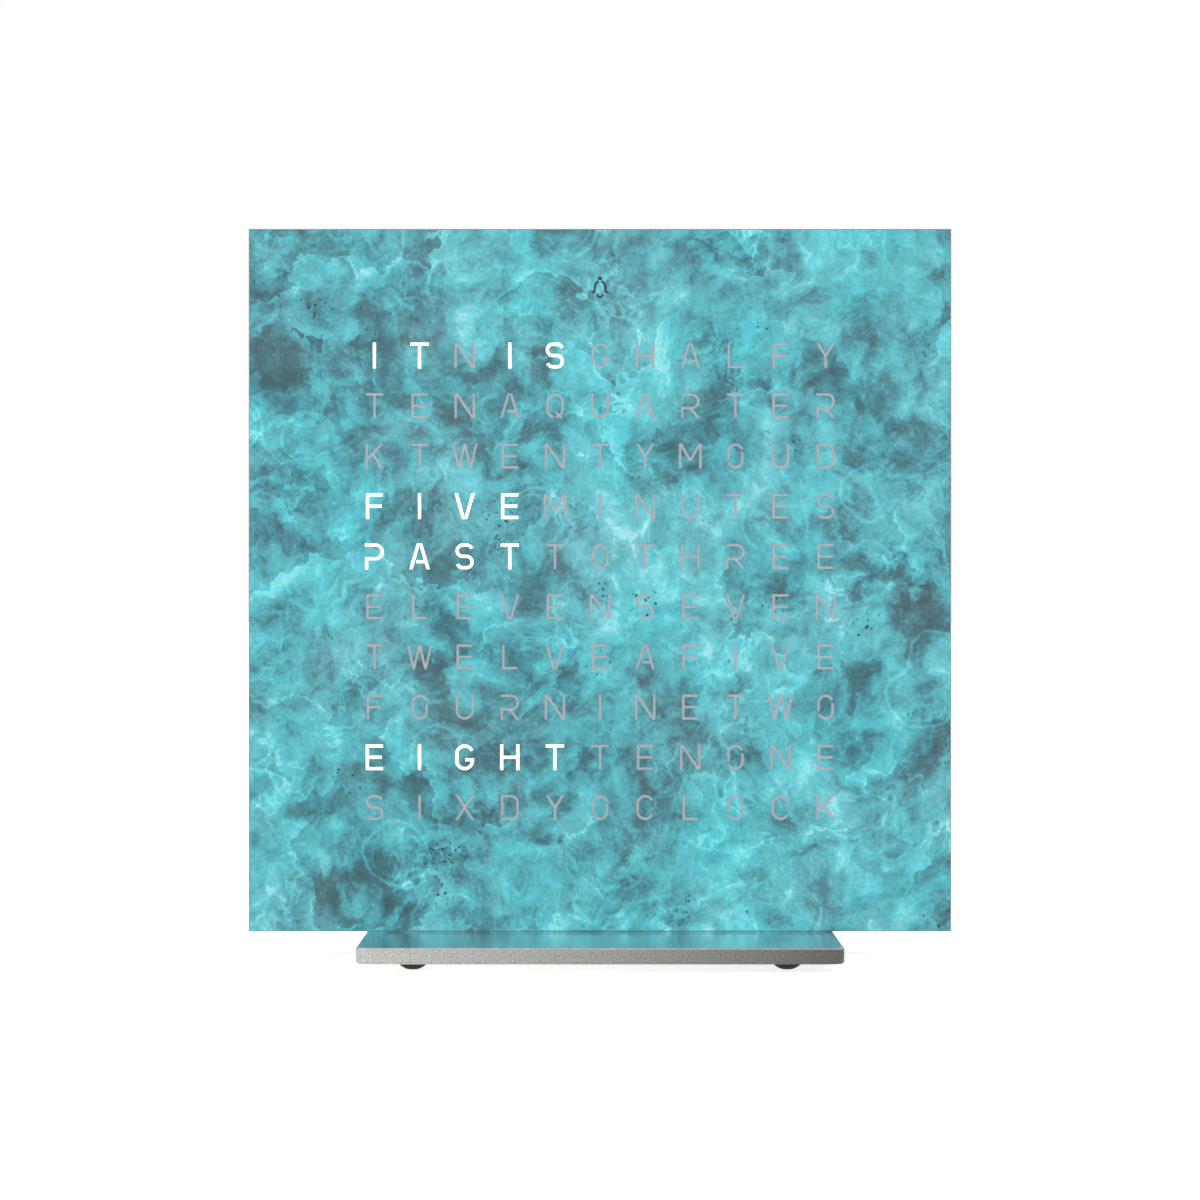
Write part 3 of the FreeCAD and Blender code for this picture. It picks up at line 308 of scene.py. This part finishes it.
TIDES = 6.0
wave = patina.math("FRACT", patina.math("MULTIPLY", layer((0.7, 0.2, 0.4), 36.0, 6.0, 0.5), TIDES))
tide_line = patina.math("MULTIPLY", patina.math("POWER", wave, 4.0),
                        some_places((0.1, 0.9, 0.5), 37.0, 0.45, 0.60))
tone = plus(tide_line, 0.34, tone)

VEINS = (((0.2, 0.6, 0.9), 44.0, 0.014), ((0.8, 0.1, 0.3), 95.0, 0.024))
for offset, scale, width in VEINS:
    from_middle = patina.math("ABSOLUTE", centred(layer(offset, scale, 4.0, 0.55)))
    vein = patina.spread(from_middle, 0.0, width, 1.0, 0.0)
    tone = plus(patina.math("MULTIPLY", vein, some_places(offset, 41.0, 0.48, 0.62)), 0.24, tone)

NODULE_RINGS = {"rim": (0.40, 0.035, 0.20), "inner ring": (0.31, 0.025, 0.10), "middle": (0.0, 0.24, -0.14)}
nodule = patina.cells(62.0, at=pushed(patina.place, 160.0, 3.0, 0.5, 0.004, patina.place), randomness=0.9)
nodule_where = some_places((0.6, 0.4, 0.6), 26.0, 0.50, 0.60)
for radius, width, lift in NODULE_RINGS.values():
    off_ring = patina.math("ABSOLUTE", patina.math("SUBTRACT", nodule, radius))
    ring = patina.spread(off_ring, 0.0, width, 1.0, 0.0, smooth=True)
    tone = plus(patina.math("MULTIPLY", ring, nodule_where), lift, tone)
print("tone is built from", len([node for node in patina.tree.nodes if node.type == "TEX_NOISE"]), "noises")

# %% [markdown]
# ## The patina: light and dark areas
# On the real face the upper left is darker, and some large areas are pale. A few soft spots
# put these where they belong. Each has its place across and up and its reach, all in
# millimetres, and how much it lightens. Their edges are read through the flow too, so none of
# them shows as a round spot.

# %% Patina areas
AREAS = {
    "dark corner patch, top left": (-54.0, 122.0, 14.0, -0.16),
    "dark patch left of the symbol": (-31.0, 129.0, 10.0, -0.14),
    "dark patch round the symbol": (-8.0, 126.0, 12.0, -0.16),
    "dark patch over the first words": (-24.0, 111.0, 10.0, -0.12),
    "dark patch in the left margin": (-57.0, 69.0, 9.0, -0.14),
    "dark patch under the third row": (-33.0, 83.0, 10.0, -0.14),
    "dark patch, top right": (33.0, 124.0, 11.0, -0.12),
    "dark patch in the right margin": (59.0, 63.0, 9.0, -0.12),
    "dark patch, low left": (-31.0, 26.0, 10.0, -0.10),
    "pale patch, top left": (-23.0, 129.0, 8.0, 0.14),
    "pale streak by the symbol": (14.0, 117.0, 10.0, 0.16),
    "pale left edge": (-63.0, 99.0, 11.0, 0.14),
    "pale left edge, lower": (-63.0, 75.0, 6.0, 0.14),
    "pale middle": (8.0, 64.0, 20.0, 0.14),
    "pale right edge": (66.0, 54.0, 8.0, 0.20),
    "pale patch, low left": (-55.0, 42.0, 14.0, 0.08),
}
AREA_FADE = 1.5
for across, up, reach, lift in AREAS.values():
    away = patina.vector("DISTANCE", flow, (across * MM, face_low.y, up * MM))
    near = patina.spread(away, 0.0, reach * AREA_FADE * MM, 1.0, 0.0, smooth=True)
    tone = plus(near, lift, tone)
print(len(AREAS), "areas placed")

# %% [markdown]
# ## The patina: colour
# The tone picks the colour from a ramp that goes from slate through teal to a pale cyan. There
# are two ramps, a vivid one and a chalky one, and two more noises say how they mix. Small dark
# pits are the middles of tiny cells, and they come in swarms.

# %% Patina colour
RAMP_PLACES = (0.06, 0.26, 0.40, 0.53, 0.68, 0.84, 1.0)
VIVID = ((54, 96, 105), (62, 120, 130), (73, 152, 164), (84, 180, 191), (92, 202, 213),
         (102, 222, 232), (130, 242, 250))
CHALKY = ((76, 98, 105), (90, 121, 129), (100, 150, 159), (111, 178, 187), (124, 198, 207),
          (146, 218, 226), (205, 244, 248))


def coloured(tints):
    return patina.ramp(tone, [(at, paint(*tint)) for at, tint in zip(RAMP_PLACES, tints)])


chalk = plus(centred(patina.noise(1100.0, 3.0, 0.7)), 1.2, layer((0.9, 0.7, 0.2), 48.0, 6.0, 0.62))
crust_colour = patina.mix(patina.spread(chalk, 0.38, 0.78), coloured(VIVID), coloured(CHALKY))
pit_where = patina.spread(layer((0.4, 0.4, 0.8), 75.0, 3.0), 0.62, 0.70)
pit = patina.math("MULTIPLY", patina.spread(patina.cells(900.0), 0.14, 0.34, 1.0, 0.0), pit_where)
pitted = patina.mix(pit, crust_colour, paint(24, 52, 60))
print("the ramps have", len(RAMP_PLACES), "colours each")

# %% [markdown]
# ## The patina: rim and skin
# The rim and the back of the plate have no patina: they are ground steel, and the rim is a thin
# grey line as seen from the front. The front is what faces along -Y, so the normal tells them
# apart. A fine bump gives the crust its dry, powdery skin. It has noises of its own, because a
# bump reads its height three times, and the whole tone would take long to read so often.

# %% Patina skin
bare = patina.spread(patina.normal(1), -0.97, -0.85)
ground_lines = patina.noise(700.0, 3.0, 0.6, at=patina.moved(scale=(0.05, 1.0, 1.0)))
bare_colour = patina.ramp(ground_lines, [(0.3, paint(112, 124, 127)), (0.7, paint(146, 154, 156))])
patina.set(base_color=patina.mix(bare, pitted, bare_colour), metallic=bare, specular_ior_level=0.35)
patina.set(roughness=patina.spread(tone, 0.2, 0.9, 0.50, 0.72))
skin_height = plus(patina.noise(1500.0, 3.0, 0.7), 0.25,
                   patina.noise(56.0, 5.0, 0.62, at=patina.moved(CLOUD_OFFSET)))
patina.bump(skin_height, 0.1 * MM, 0.5)
finishes["patina_steel"] = patina
print("patina built with", len(patina.tree.nodes), "nodes")

# %% [markdown]
# ## The letters
# Each letter is a slot in the face, filled with pale resin. Where no lamp is on behind it, the
# resin shows as a flat pale grey, with a faint painted glow in it that stands in for stray light
# from the lit letters nearby. The lit ones shine pure white. The alarm symbol over them is
# filled with a smoked resin and looks nearly black.

# %% Letter finishes
unlit = Finish("unlit_resin", paint(178, 184, 190), 0.45)
cloudy = unlit.noise(900.0, 3.0)
unlit.set(base_color=unlit.ramp(cloudy, [(0.3, paint(170, 179, 186)), (0.7, paint(188, 190, 195))]))
# painted glow: this faint white emission stands in for stray light from the lit letters
unlit.set(emission_color=paint(235, 232, 234), emission_strength=0.06)
unlit.bump(unlit.noise(4000.0, 2.0), 0.02 * MM, 0.4)
finishes["unlit_resin"] = unlit

lit = Finish("lit_resin", paint(250, 252, 252), 0.4)
lit.set(emission_color=WHITE, emission_strength=lit.spread(lit.noise(300.0, 2.0), 0.3, 0.7, 1.05, 1.35))
finishes["lit_resin"] = lit

smoked = Finish("smoked_resin", paint(26, 52, 58), 0.35)
smoked_tints = [(0.3, paint(20, 46, 52)), (0.7, paint(38, 68, 74))]
smoked.set(base_color=smoked.ramp(smoked.noise(1500.0, 2.0), smoked_tints))
finishes["smoked_resin"] = smoked
print("letters have", len(finishes) - 1, "finishes")

# %% [markdown]
# ## Lit letters, grown from the CAD's
# To the eye and to a camera the lit letters look broader than the others, because the light
# spreads in the resin's rim. So they are modelled again from the CAD's: a copy is grown by a few
# hundredths of a millimetre all round and stands a hair's breadth proud of the face. A CAD
# mesh is loose triangles, so a copy of it is welded first. Growing with an even wall makes
# long spikes at sharp corners, and a cap on each corner's shift takes them off.


# %% Editing helpers
def deselect():
    for thing in bpy.context.selected_objects:
        thing.select_set(False)


def only(thing):
    deselect()
    thing.select_set(True)
    bpy.context.view_layer.objects.active = thing


def edit(*steps):
    """Run some mesh operations on all of the active object."""
    bpy.ops.object.mode_set(mode="EDIT")
    bpy.ops.mesh.select_all(action="SELECT")
    for step in steps:
        step()
    bpy.ops.object.mode_set(mode="OBJECT")


def copy_of(node, name):
    made = bpy.data.objects.new(name, nodes[node].data.copy())
    bpy.context.scene.collection.objects.link(made)
    only(made)
    edit(lambda: bpy.ops.mesh.remove_doubles(threshold=0.001 * MM))
    return made


# %% Lit letters
GLOW_GROWTH = 0.04 * MM
GLOW_CAP = 1.5 * GLOW_GROWTH
GLOW_PROUD = 0.02 * MM
GLOW_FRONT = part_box("front_plate")[0].y - GLOW_PROUD
lit_letters = copy_of("letters_lit", "lit_letters")
before = [corner.co.copy() for corner in lit_letters.data.vertices]
half_way = sum(place.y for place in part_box("letters_lit")) / 2
edit(lambda: bpy.ops.transform.shrink_fatten(value=GLOW_GROWTH, use_even_offset=True))
for corner, old in zip(lit_letters.data.vertices, before):
    shift = corner.co - old
    shift.y = 0.0
    if shift.length > GLOW_CAP:
        shift *= GLOW_CAP / shift.length
    corner.co = old + shift
    corner.co.y = GLOW_FRONT if old.y < half_way else old.y
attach(lit_letters, "front_cover")
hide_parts("letters_lit")
print("lit letters:", len(lit_letters.data.polygons), "faces, front at", round(GLOW_FRONT / MM, 3), "mm")

# %% [markdown]
# ## The base plate
# The plate's top is ground and polished until it mirrors the face in a soft streaked way. Its
# edges are bead blasted: fine, matt and sparkling. Painted light runs along them: their colour
# is lighter at the left, where the key lamp is, and darker to the right. It is one piece of
# steel, so one finish holds both, and the direction that a surface faces says which of them it has.

# %% Base steel
POLISH_STREAKS = (700.0, 1.5, 12.0)
steel = Finish("blasted_steel", paint(190, 190, 188), 0.3, 1.0)
upward = steel.spread(steel.normal(2), 0.6, 0.9)
fine = steel.noise(2600.0, 3.0, 0.85)
# painted light: the edges' colour goes from light at the left end to dark at the right, standing in for the
# key lamp's fall-off
painted_light_fade = steel.spread(steel.part(steel.place, 0), base_low.x, base_high.x)
edge_painted_light_tints = [(0.0, paint(180, 180, 177)), (0.33, paint(158, 157, 154)), (1.0, paint(92, 91, 91))]
grain_tints = [(0.3, paint(90, 90, 90)), (0.7, paint(235, 235, 233))]
edge_colour_with_painted_light = steel.mix(0.65, steel.ramp(painted_light_fade, edge_painted_light_tints), steel.ramp(fine, grain_tints), "OVERLAY")
streak = steel.noise(1.0, 3.0, 0.6, at=steel.moved(scale=POLISH_STREAKS))
top_colour = steel.ramp(streak, [(0.3, paint(206, 212, 212)), (0.7, paint(240, 243, 243))])
steel.set(base_color=steel.mix(upward, edge_colour_with_painted_light, top_colour))
steel.set(roughness=steel.spread(upward, 0.0, 1.0, 0.42, steel.spread(streak, 0.3, 0.7, 0.18, 0.25)))
grain_on_edges = steel.math("MULTIPLY", fine, steel.spread(upward, 0.0, 1.0, 1.0, 0.0))
steel.bump(grain_on_edges, 0.03 * MM, 0.6)
finishes["blasted_steel"] = steel
print("base steel fades from x", round(base_low.x, 4), "to", round(base_high.x, 4))

# %% [markdown]
# ## Moulded and machined finishes
# The rest are everyday finishes: moulded plastics with a fine spark-eroded grain, and metals
# with a brushed or tumbled skin. They differ by colour, gloss and the size and direction of
# the grain, so two functions make them from those numbers.


# %% Plastic and metal helpers
def moulded(name, dark, light, roughness, grain=2500.0, depth=0.02 * MM):
    made = Finish(name, dark, roughness)
    tints = [(0.3, dark), (0.7, light)]
    skin = made.noise(grain, 3.0, 0.6)
    blotch = made.noise(60.0, 3.0, 0.5)
    made.set(base_color=made.mix(0.5, made.ramp(skin, tints), made.ramp(blotch, tints)))
    made.set(roughness=made.spread(blotch, 0.3, 0.7, roughness - 0.05, roughness + 0.05))
    made.bump(skin, depth, 0.6)
    finishes[name] = made


def metal(name, dark, light, roughness, stretch=(1.0, 1.0, 1.0), grain=900.0):
    made = Finish(name, light, roughness, 1.0)
    brushed = made.noise(grain, 3.0, 0.6, at=made.moved(scale=stretch))
    cloud = made.noise(120.0, 3.0, 0.5)
    shade = made.math("ADD", made.math("MULTIPLY", brushed, 0.6), made.math("MULTIPLY", cloud, 0.4))
    made.set(base_color=made.ramp(shade, [(0.35, dark), (0.65, light)]))
    made.set(roughness=made.spread(brushed, 0.3, 0.7, roughness - 0.06, roughness + 0.08))
    made.bump(brushed, 0.01 * MM, 0.5)
    finishes[name] = made


# %% Plastics
moulded("foot_rubber", paint(56, 56, 55), paint(76, 76, 74), 0.75, 3200.0)
moulded("housing_black", paint(20, 21, 22), paint(42, 43, 45), 0.50, 1300.0, 0.08 * MM)
moulded("grid_black", paint(20, 20, 21), paint(30, 30, 31), 0.62, 1500.0, 0.03 * MM)
moulded("button_black", paint(30, 31, 32), paint(42, 43, 44), 0.38, 3000.0)
moulded("plunger_black", paint(26, 26, 28), paint(38, 38, 40), 0.45, 3000.0)
moulded("chip_black", paint(30, 31, 33), paint(44, 45, 47), 0.5, 5000.0)
moulded("lamp_white", paint(226, 226, 220), paint(240, 240, 234), 0.4, 4000.0)
moulded("diffuser_white", paint(232, 233, 232), paint(244, 244, 243), 0.6, 2200.0)
print("black plastics:", [name for name in finishes if "black" in name])

# %% Metals
metal("magnet_nickel", paint(176, 174, 168), paint(206, 204, 198), 0.2)
metal("zinc_steel", paint(150, 156, 162), paint(196, 200, 204), 0.32, grain=500.0)
metal("block_aluminium", paint(160, 162, 165), paint(205, 207, 210), 0.32, (0.05, 1.0, 1.0), 2400.0)
metal("screw_steel", paint(150, 150, 148), paint(200, 200, 198), 0.25)
metal("black_oxide", paint(30, 30, 32), paint(58, 58, 60), 0.35)
metal("brass_insert", paint(168, 130, 66), paint(210, 172, 96), 0.28)
metal("can_metal", paint(160, 162, 164), paint(200, 202, 204), 0.3, (1.0, 0.05, 1.0), 2400.0)
metal("cell_steel", paint(160, 162, 162), paint(206, 208, 206), 0.22, (1.0, 1.0, 0.05), 2400.0)
metal("touch_copper", paint(150, 84, 54), paint(206, 130, 92), 0.28, (0.05, 1.0, 1.0), 1800.0)
metal("contact_metal", paint(170, 160, 140), paint(214, 206, 184), 0.22)
print("metals:", len([finish for finish in finishes.values()
                      if finish.shader.inputs["Metallic"].default_value == 1.0]))

# %% [markdown]
# ## The circuit board
# Green solder mask over copper tracks: the tracks show as slightly lighter lines that run
# square to each other. Cells measured by the largest of their distances along the axes have
# square borders, which look like tracks, and small round cells look like plated holes.

# %% Board green
MASK_GREEN = paint(22, 74, 48)
board = Finish("board_green", MASK_GREEN, 0.35)
second_nearest = board.cells(210.0, "F2", distance="CHEBYCHEV")
nearest = board.cells(210.0, "F1", distance="CHEBYCHEV")
track = board.spread(board.math("SUBTRACT", second_nearest, nearest), 0.04, 0.06, 1.0, 0.0)
via = board.spread(board.cells(300.0, randomness=0.7), 0.10, 0.12, 1.0, 0.0)
mask = board.mix(track, MASK_GREEN, paint(44, 104, 70))
board.set(base_color=board.mix(via, mask, paint(186, 176, 140)))
board.bump(board.math("ADD", track, via), 0.03 * MM, 0.4)
finishes["board_green"] = board
print("board has tracks and plated holes")

# %% [markdown]
# ## The joint between face and base
# The lower edge of the face rests on the base with no gap that the eye can see. The CAD model
# leaves two tenths of a millimetre there for the stand's screws to close, so a thin seat
# strip of the face's own finish fills it. It stays on the base when the face is pulled off.
# New pieces end with their place in their mesh, their normals outwards, one finish and the
# body that they ride on, so one helper does all of that.


# %% Modelling helpers
def settle(thing, name, body, slot):
    """Name a finished piece, put its place in its mesh, and say what it rides on."""
    only(thing)
    bpy.ops.object.transform_apply(location=True, rotation=True, scale=True)
    edit(lambda: bpy.ops.mesh.normals_make_consistent(inside=False))
    thing.name = thing.data.name = name
    thing.data.materials.clear()
    thing.data.materials.append(finishes[slot].material)
    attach(thing, body)


def slab(low, high, bevel):
    """A flat bar between two corners, with its edges softened."""
    deselect()
    middle = [(a + b) / 2 for a, b in zip(low, high)]
    bpy.ops.mesh.primitive_cube_add(size=1.0, location=middle)
    made = bpy.context.object
    made.scale = [b - a for a, b in zip(low, high)]
    bpy.ops.object.transform_apply(location=True, rotation=True, scale=True)
    edit(lambda: bpy.ops.mesh.bevel(offset=bevel, segments=2, affect="EDGES"))
    return made


# %% Seat strip
STRIP_INSET = 0.05 * MM
STRIP_END = 0.4 * MM
STRIP_PLAY = 0.01 * MM
STRIP_BEVEL = 0.03 * MM
strip_low = (base_low.x + STRIP_END, face_low.y + STRIP_INSET, base_high.z)
strip_high = (base_high.x - STRIP_END, face_high.y - STRIP_INSET, face_low.z - STRIP_PLAY)
settle(slab(strip_low, strip_high, STRIP_BEVEL), "seat_strip", "clock_body", "patina_steel")
print("seat strip fills a gap of", round((face_low.z - base_high.z) / MM, 2), "mm")

# %% [markdown]
# ## Marks on the back
# Each button has a small raised sign beside it, so that it can be found by eye or finger: a
# dial with two short hands for the hours, one with a long and a short hand for the minutes, and
# a bell in a ring for the alarm. A ring frames the sounder's grille and another the power inlet.
# A ring is a circle whose edge is extruded and scaled inwards, and then gets a thickness and a
# softened edge.


# %% Ring and hand helpers
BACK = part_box("rear_cover")[1].y
HAND_HALF = 0.16 * MM
HAND_BEVEL = 0.05 * MM


def finish_with(thing, kind, **settings):
    """Put a modifier on a piece, with its settings, and apply it."""
    only(thing)
    modifier = thing.modifiers.new(kind.lower(), kind)
    for name, value in settings.items():
        setattr(modifier, name, value)
    bpy.ops.object.modifier_apply(modifier=modifier.name)


def flat_ring(across, up, outer, inner, rise):
    deselect()
    middle = (across, BACK, up)
    bpy.ops.mesh.primitive_circle_add(vertices=72, radius=outer, location=middle,
                                      rotation=(math.radians(90), 0.0, 0.0))
    made = bpy.context.object
    share = inner / outer
    edit(lambda: bpy.ops.mesh.extrude_edges_move(),
         lambda: bpy.ops.transform.resize(value=(share, share, share), center_override=middle))
    only(made)
    bpy.ops.object.transform_apply(location=True, rotation=True, scale=True)
    finish_with(made, "SOLIDIFY", thickness=2 * rise, offset=0.0)
    finish_with(made, "BEVEL", width=rise * 0.4, segments=2, limit_method="ANGLE")
    return made


def hand(across, up, length, angle, rise):
    """A bar from the middle of a dial upwards, turned about that middle."""
    made = slab((across - HAND_HALF, BACK - rise, up - HAND_HALF),
                (across + HAND_HALF, BACK + rise, up + length), HAND_BEVEL)
    middle = Vector((across, 0.0, up))
    turn = Matrix.Rotation(math.radians(angle), 4, "Y")
    made.data.transform(Matrix.Translation(middle) @ turn @ Matrix.Translation(-middle))
    return made


def joined(things):
    deselect()
    for thing in things:
        thing.select_set(True)
    bpy.context.view_layer.objects.active = things[0]
    bpy.ops.object.join()
    return things[0]


# %% Signs
SIGN_RISE = 0.15 * MM
SIGN_RADIUS = 2.5 * MM
SIGN_LINE = 0.3 * MM
SIGN_BESIDE = 9.5 * MM
SHORT_HAND, LONG_HAND = 1.1 * MM, 1.9 * MM
SIGN_HANDS = {"hours": ((SHORT_HAND, -60.0), (SHORT_HAND, 0.0)),
              "minutes": ((LONG_HAND, 0.0), (SHORT_HAND, 90.0)),
              "alarm": ()}
BELL_SHARE = 0.75


def small_bell(across, up):
    """A copy of the bell on the face, turned round to face backwards and made smaller."""
    made = copy_of("bell_inlay", "small_bell")
    bell_low, bell_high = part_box("bell_inlay")
    flatter = 2 * SIGN_RISE / (bell_high.y - bell_low.y)
    made.data.transform(
        Matrix.Translation((across, BACK, up)) @ Matrix.Rotation(math.radians(180), 4, "Z")
        @ Matrix.Diagonal((BELL_SHARE, flatter, BELL_SHARE, 1.0))
        @ Matrix.Translation(-(bell_low + bell_high) / 2))
    return made


for key, hands in SIGN_HANDS.items():
    low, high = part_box(key + "_button")
    across, up = (low.x + high.x) / 2 + SIGN_BESIDE, (low.z + high.z) / 2
    parts = [flat_ring(across, up, SIGN_RADIUS, SIGN_RADIUS - SIGN_LINE, SIGN_RISE)]
    for length, angle in hands:
        parts.append(hand(across, up, length, angle, SIGN_RISE))
    if key == "alarm":
        parts.append(small_bell(across, up))
    # the signs share the letters' pale resin, faint painted glow included
    settle(joined(parts), key + "_sign", "clock_body", "unlit_resin")
print("signs rise", SIGN_RISE / MM, "mm from the back")

# %% Rings
RING_RISE = 0.2 * MM
sounder_low, sounder_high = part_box("sounder")
inlet_low, inlet_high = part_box("power_inlet")
RINGS = {"grille_ring": (sounder_low, sounder_high, 5.6 * MM, 5.0 * MM),
         "inlet_ring": (inlet_low, inlet_high, 5.6 * MM, 4.75 * MM)}
for name, (low, high, outer, inner) in RINGS.items():
    framed = flat_ring((low.x + high.x) / 2, (low.z + high.z) / 2, outer, inner, RING_RISE)
    settle(framed, name, "clock_body", "housing_black")
print("rings rise", RING_RISE / MM, "mm from the back")

# %% [markdown]
# ## The lamps on the board
# Each lamp is a white moulded square with a well in its top and a yellow phosphor at the
# bottom of the well. One is modelled: a block whose front is inset and pushed in. Copies of
# it go where the CAD model has its plain blocks, with the phosphor as a second material.

# %% Where the lamps are
phosphor = Finish("phosphor_yellow", paint(226, 206, 96), 0.5)
phosphor_tints = [(0.3, paint(214, 190, 80)), (0.7, paint(238, 222, 120))]
phosphor.set(base_color=phosphor.ramp(phosphor.noise(3000.0, 2.0), phosphor_tints))
FACES_A_BLOCK = 12
blocks = nodes["matrix_leds"].data


def block_ends(first):
    """The least and the greatest X, Y and Z of the block that starts at a face."""
    corners = [blocks.vertices[v].co for k in range(first, first + FACES_A_BLOCK)
               for v in blocks.polygons[k].vertices]
    return [(min(c[i] for c in corners), max(c[i] for c in corners)) for i in range(3)]


ends = [block_ends(first) for first in range(0, len(blocks.polygons), FACES_A_BLOCK)]
centres = [[(low + high) / 2 for low, high in block] for block in ends]
half = [(high - low) / 2 for low, high in ends[0]]
print(len(centres), "lamps, each", [round(2 * h / MM, 2) for h in half], "mm")

# %% One lamp and its copies
LAMP_BEVEL = 0.12 * MM
LAMP_RIM = 0.38 * MM
WELL_SLOPE = 0.12 * MM
WELL_DEEP = 0.35 * MM
lamp_body = slab([-h for h in half], half, LAMP_BEVEL)
only(lamp_body)
bpy.ops.object.mode_set(mode="EDIT")
cage = bmesh.from_edit_mesh(lamp_body.data)
for face in cage.faces:
    face.select_set(face.normal.y < -0.99)
bpy.ops.mesh.inset(thickness=LAMP_RIM, depth=0.0)
bpy.ops.mesh.inset(thickness=WELL_SLOPE, depth=-WELL_DEEP)
lamp_body.data.materials.append(finishes["lamp_white"].material)
lamp_body.data.materials.append(phosphor.material)
cage = bmesh.from_edit_mesh(lamp_body.data)
for face in cage.faces:
    face.material_index = int(face.select)
bmesh.update_edit_mesh(lamp_body.data)
bpy.ops.object.mode_set(mode="OBJECT")
copies = []
for centre in centres:
    twin = bpy.data.objects.new("lamp_copy", lamp_body.data.copy())
    twin.data.transform(Matrix.Translation(centre))
    bpy.context.scene.collection.objects.link(twin)
    copies.append(twin)
bpy.data.objects.remove(lamp_body)
lamps = joined(copies)
lamps.name = lamps.data.name = "matrix_lamps"
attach(lamps, "clock_body")
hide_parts("matrix_leds")
print(len(lamps.data.polygons), "faces, with", len(lamps.data.materials), "finishes")

# %% [markdown]
# ## Dressing the CAD nodes
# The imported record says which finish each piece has, so one loop puts the finishes on. Each
# node keeps its mesh and its place.

# %% Dress every node
for entry in frame["record"]["subparts"]:
    finish = finishes[entry["material_slot"]]
    mesh = nodes[entry["node"]].data
    mesh.materials.clear()
    mesh.materials.append(finish.material)
lit_letters.data.materials.clear()
lit_letters.data.materials.append(finishes["lit_resin"].material)

# %% [markdown]
# ## Floor, sky and lamps
# The photograph has a plain white ground with no line where floor meets wall. The world is
# an even soft light, and where the camera, a mirror or glass looks at it, it is plain white.
# The floor is a large pale sheet that takes the clock's soft shadow, and it glows for the same
# three kinds of ray, so that it is as white as the sky.

# %% World
AMBIENT = 0.60
SEEING_RAYS = ("Is Camera Ray", "Is Glossy Ray", "Is Transmission Ray")
world = bpy.data.worlds.new("soft_world")
bpy.context.scene.world = world
world.use_nodes = True
sky = world.node_tree
sky.nodes.clear()
rays = sky.nodes.new("ShaderNodeLightPath")
seen = rays.outputs[SEEING_RAYS[0]]
for name in SEEING_RAYS[1:]:
    either = sky.nodes.new("ShaderNodeMath")
    either.operation = "MAXIMUM"
    sky.links.new(seen, either.inputs[0])
    sky.links.new(rays.outputs[name], either.inputs[1])
    seen = either.outputs[0]
level = sky.nodes.new("ShaderNodeMapRange")
sky.links.new(seen, level.inputs["Value"])
level.inputs["To Min"].default_value = AMBIENT
level.inputs["To Max"].default_value = 1.0
background = sky.nodes.new("ShaderNodeBackground")
background.inputs["Color"].default_value = WHITE
sky.links.new(level.outputs[0], background.inputs["Strength"])
sky_out = sky.nodes.new("ShaderNodeOutputWorld")
sky.links.new(background.outputs[0], sky_out.inputs[0])
print("world light", AMBIENT)

# %% Floor
FLOOR_SIDE = 24.0
FLOOR_GREY = (0.86, 0.86, 0.86, 1.0)
FLOOR_GLOW = 0.80
deselect()
bpy.ops.mesh.primitive_plane_add(size=FLOOR_SIDE, location=(0.0, 0.0, 0.0))
floor = bpy.context.object
floor.name = "floor"
floor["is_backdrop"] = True
ground = Finish("floor_white", FLOOR_GREY, 0.9)
floor_rays = ground.add("ShaderNodeLightPath")
shown = floor_rays.outputs[SEEING_RAYS[0]]
for name in SEEING_RAYS[1:]:
    shown = ground.math("MAXIMUM", shown, floor_rays.outputs[name])
ground.set(specular_ior_level=0.0, emission_color=WHITE,
           emission_strength=ground.math("MULTIPLY", shown, FLOOR_GLOW))
floor.data.materials.append(ground.material)
print("floor side", FLOOR_SIDE, "m")

# %% Lamps
FACE_MIDDLE = (0.0, 0.0, 0.07)
LAMPS = {"key": (7.6, 0.9, (-0.9, -1.1, 0.9)),
         "fill": (2.8, 1.2, (1.1, -0.9, 0.6)),
         "back": (4.0, 1.0, (0.6, 1.2, 1.0))}
for name, (power, side, position) in LAMPS.items():
    light = bpy.data.lights.new(name, "AREA")
    light.energy, light.size = power, side
    lamp = bpy.data.objects.new(name, light)
    lamp.location = position
    lamp.rotation_euler = (Vector(FACE_MIDDLE) - Vector(position)).to_track_quat("-Z", "Y").to_euler()
    bpy.context.scene.collection.objects.link(lamp)
bpy.context.scene.view_settings.view_transform = "Standard"

# %% [markdown]
# ## The dressed size
# The dressed model must not be larger than the CAD model, so its box is printed.

# %% Sizes and finish
low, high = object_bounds()
print("visual box:", [round(v, 5) for v in (*low, *high)])
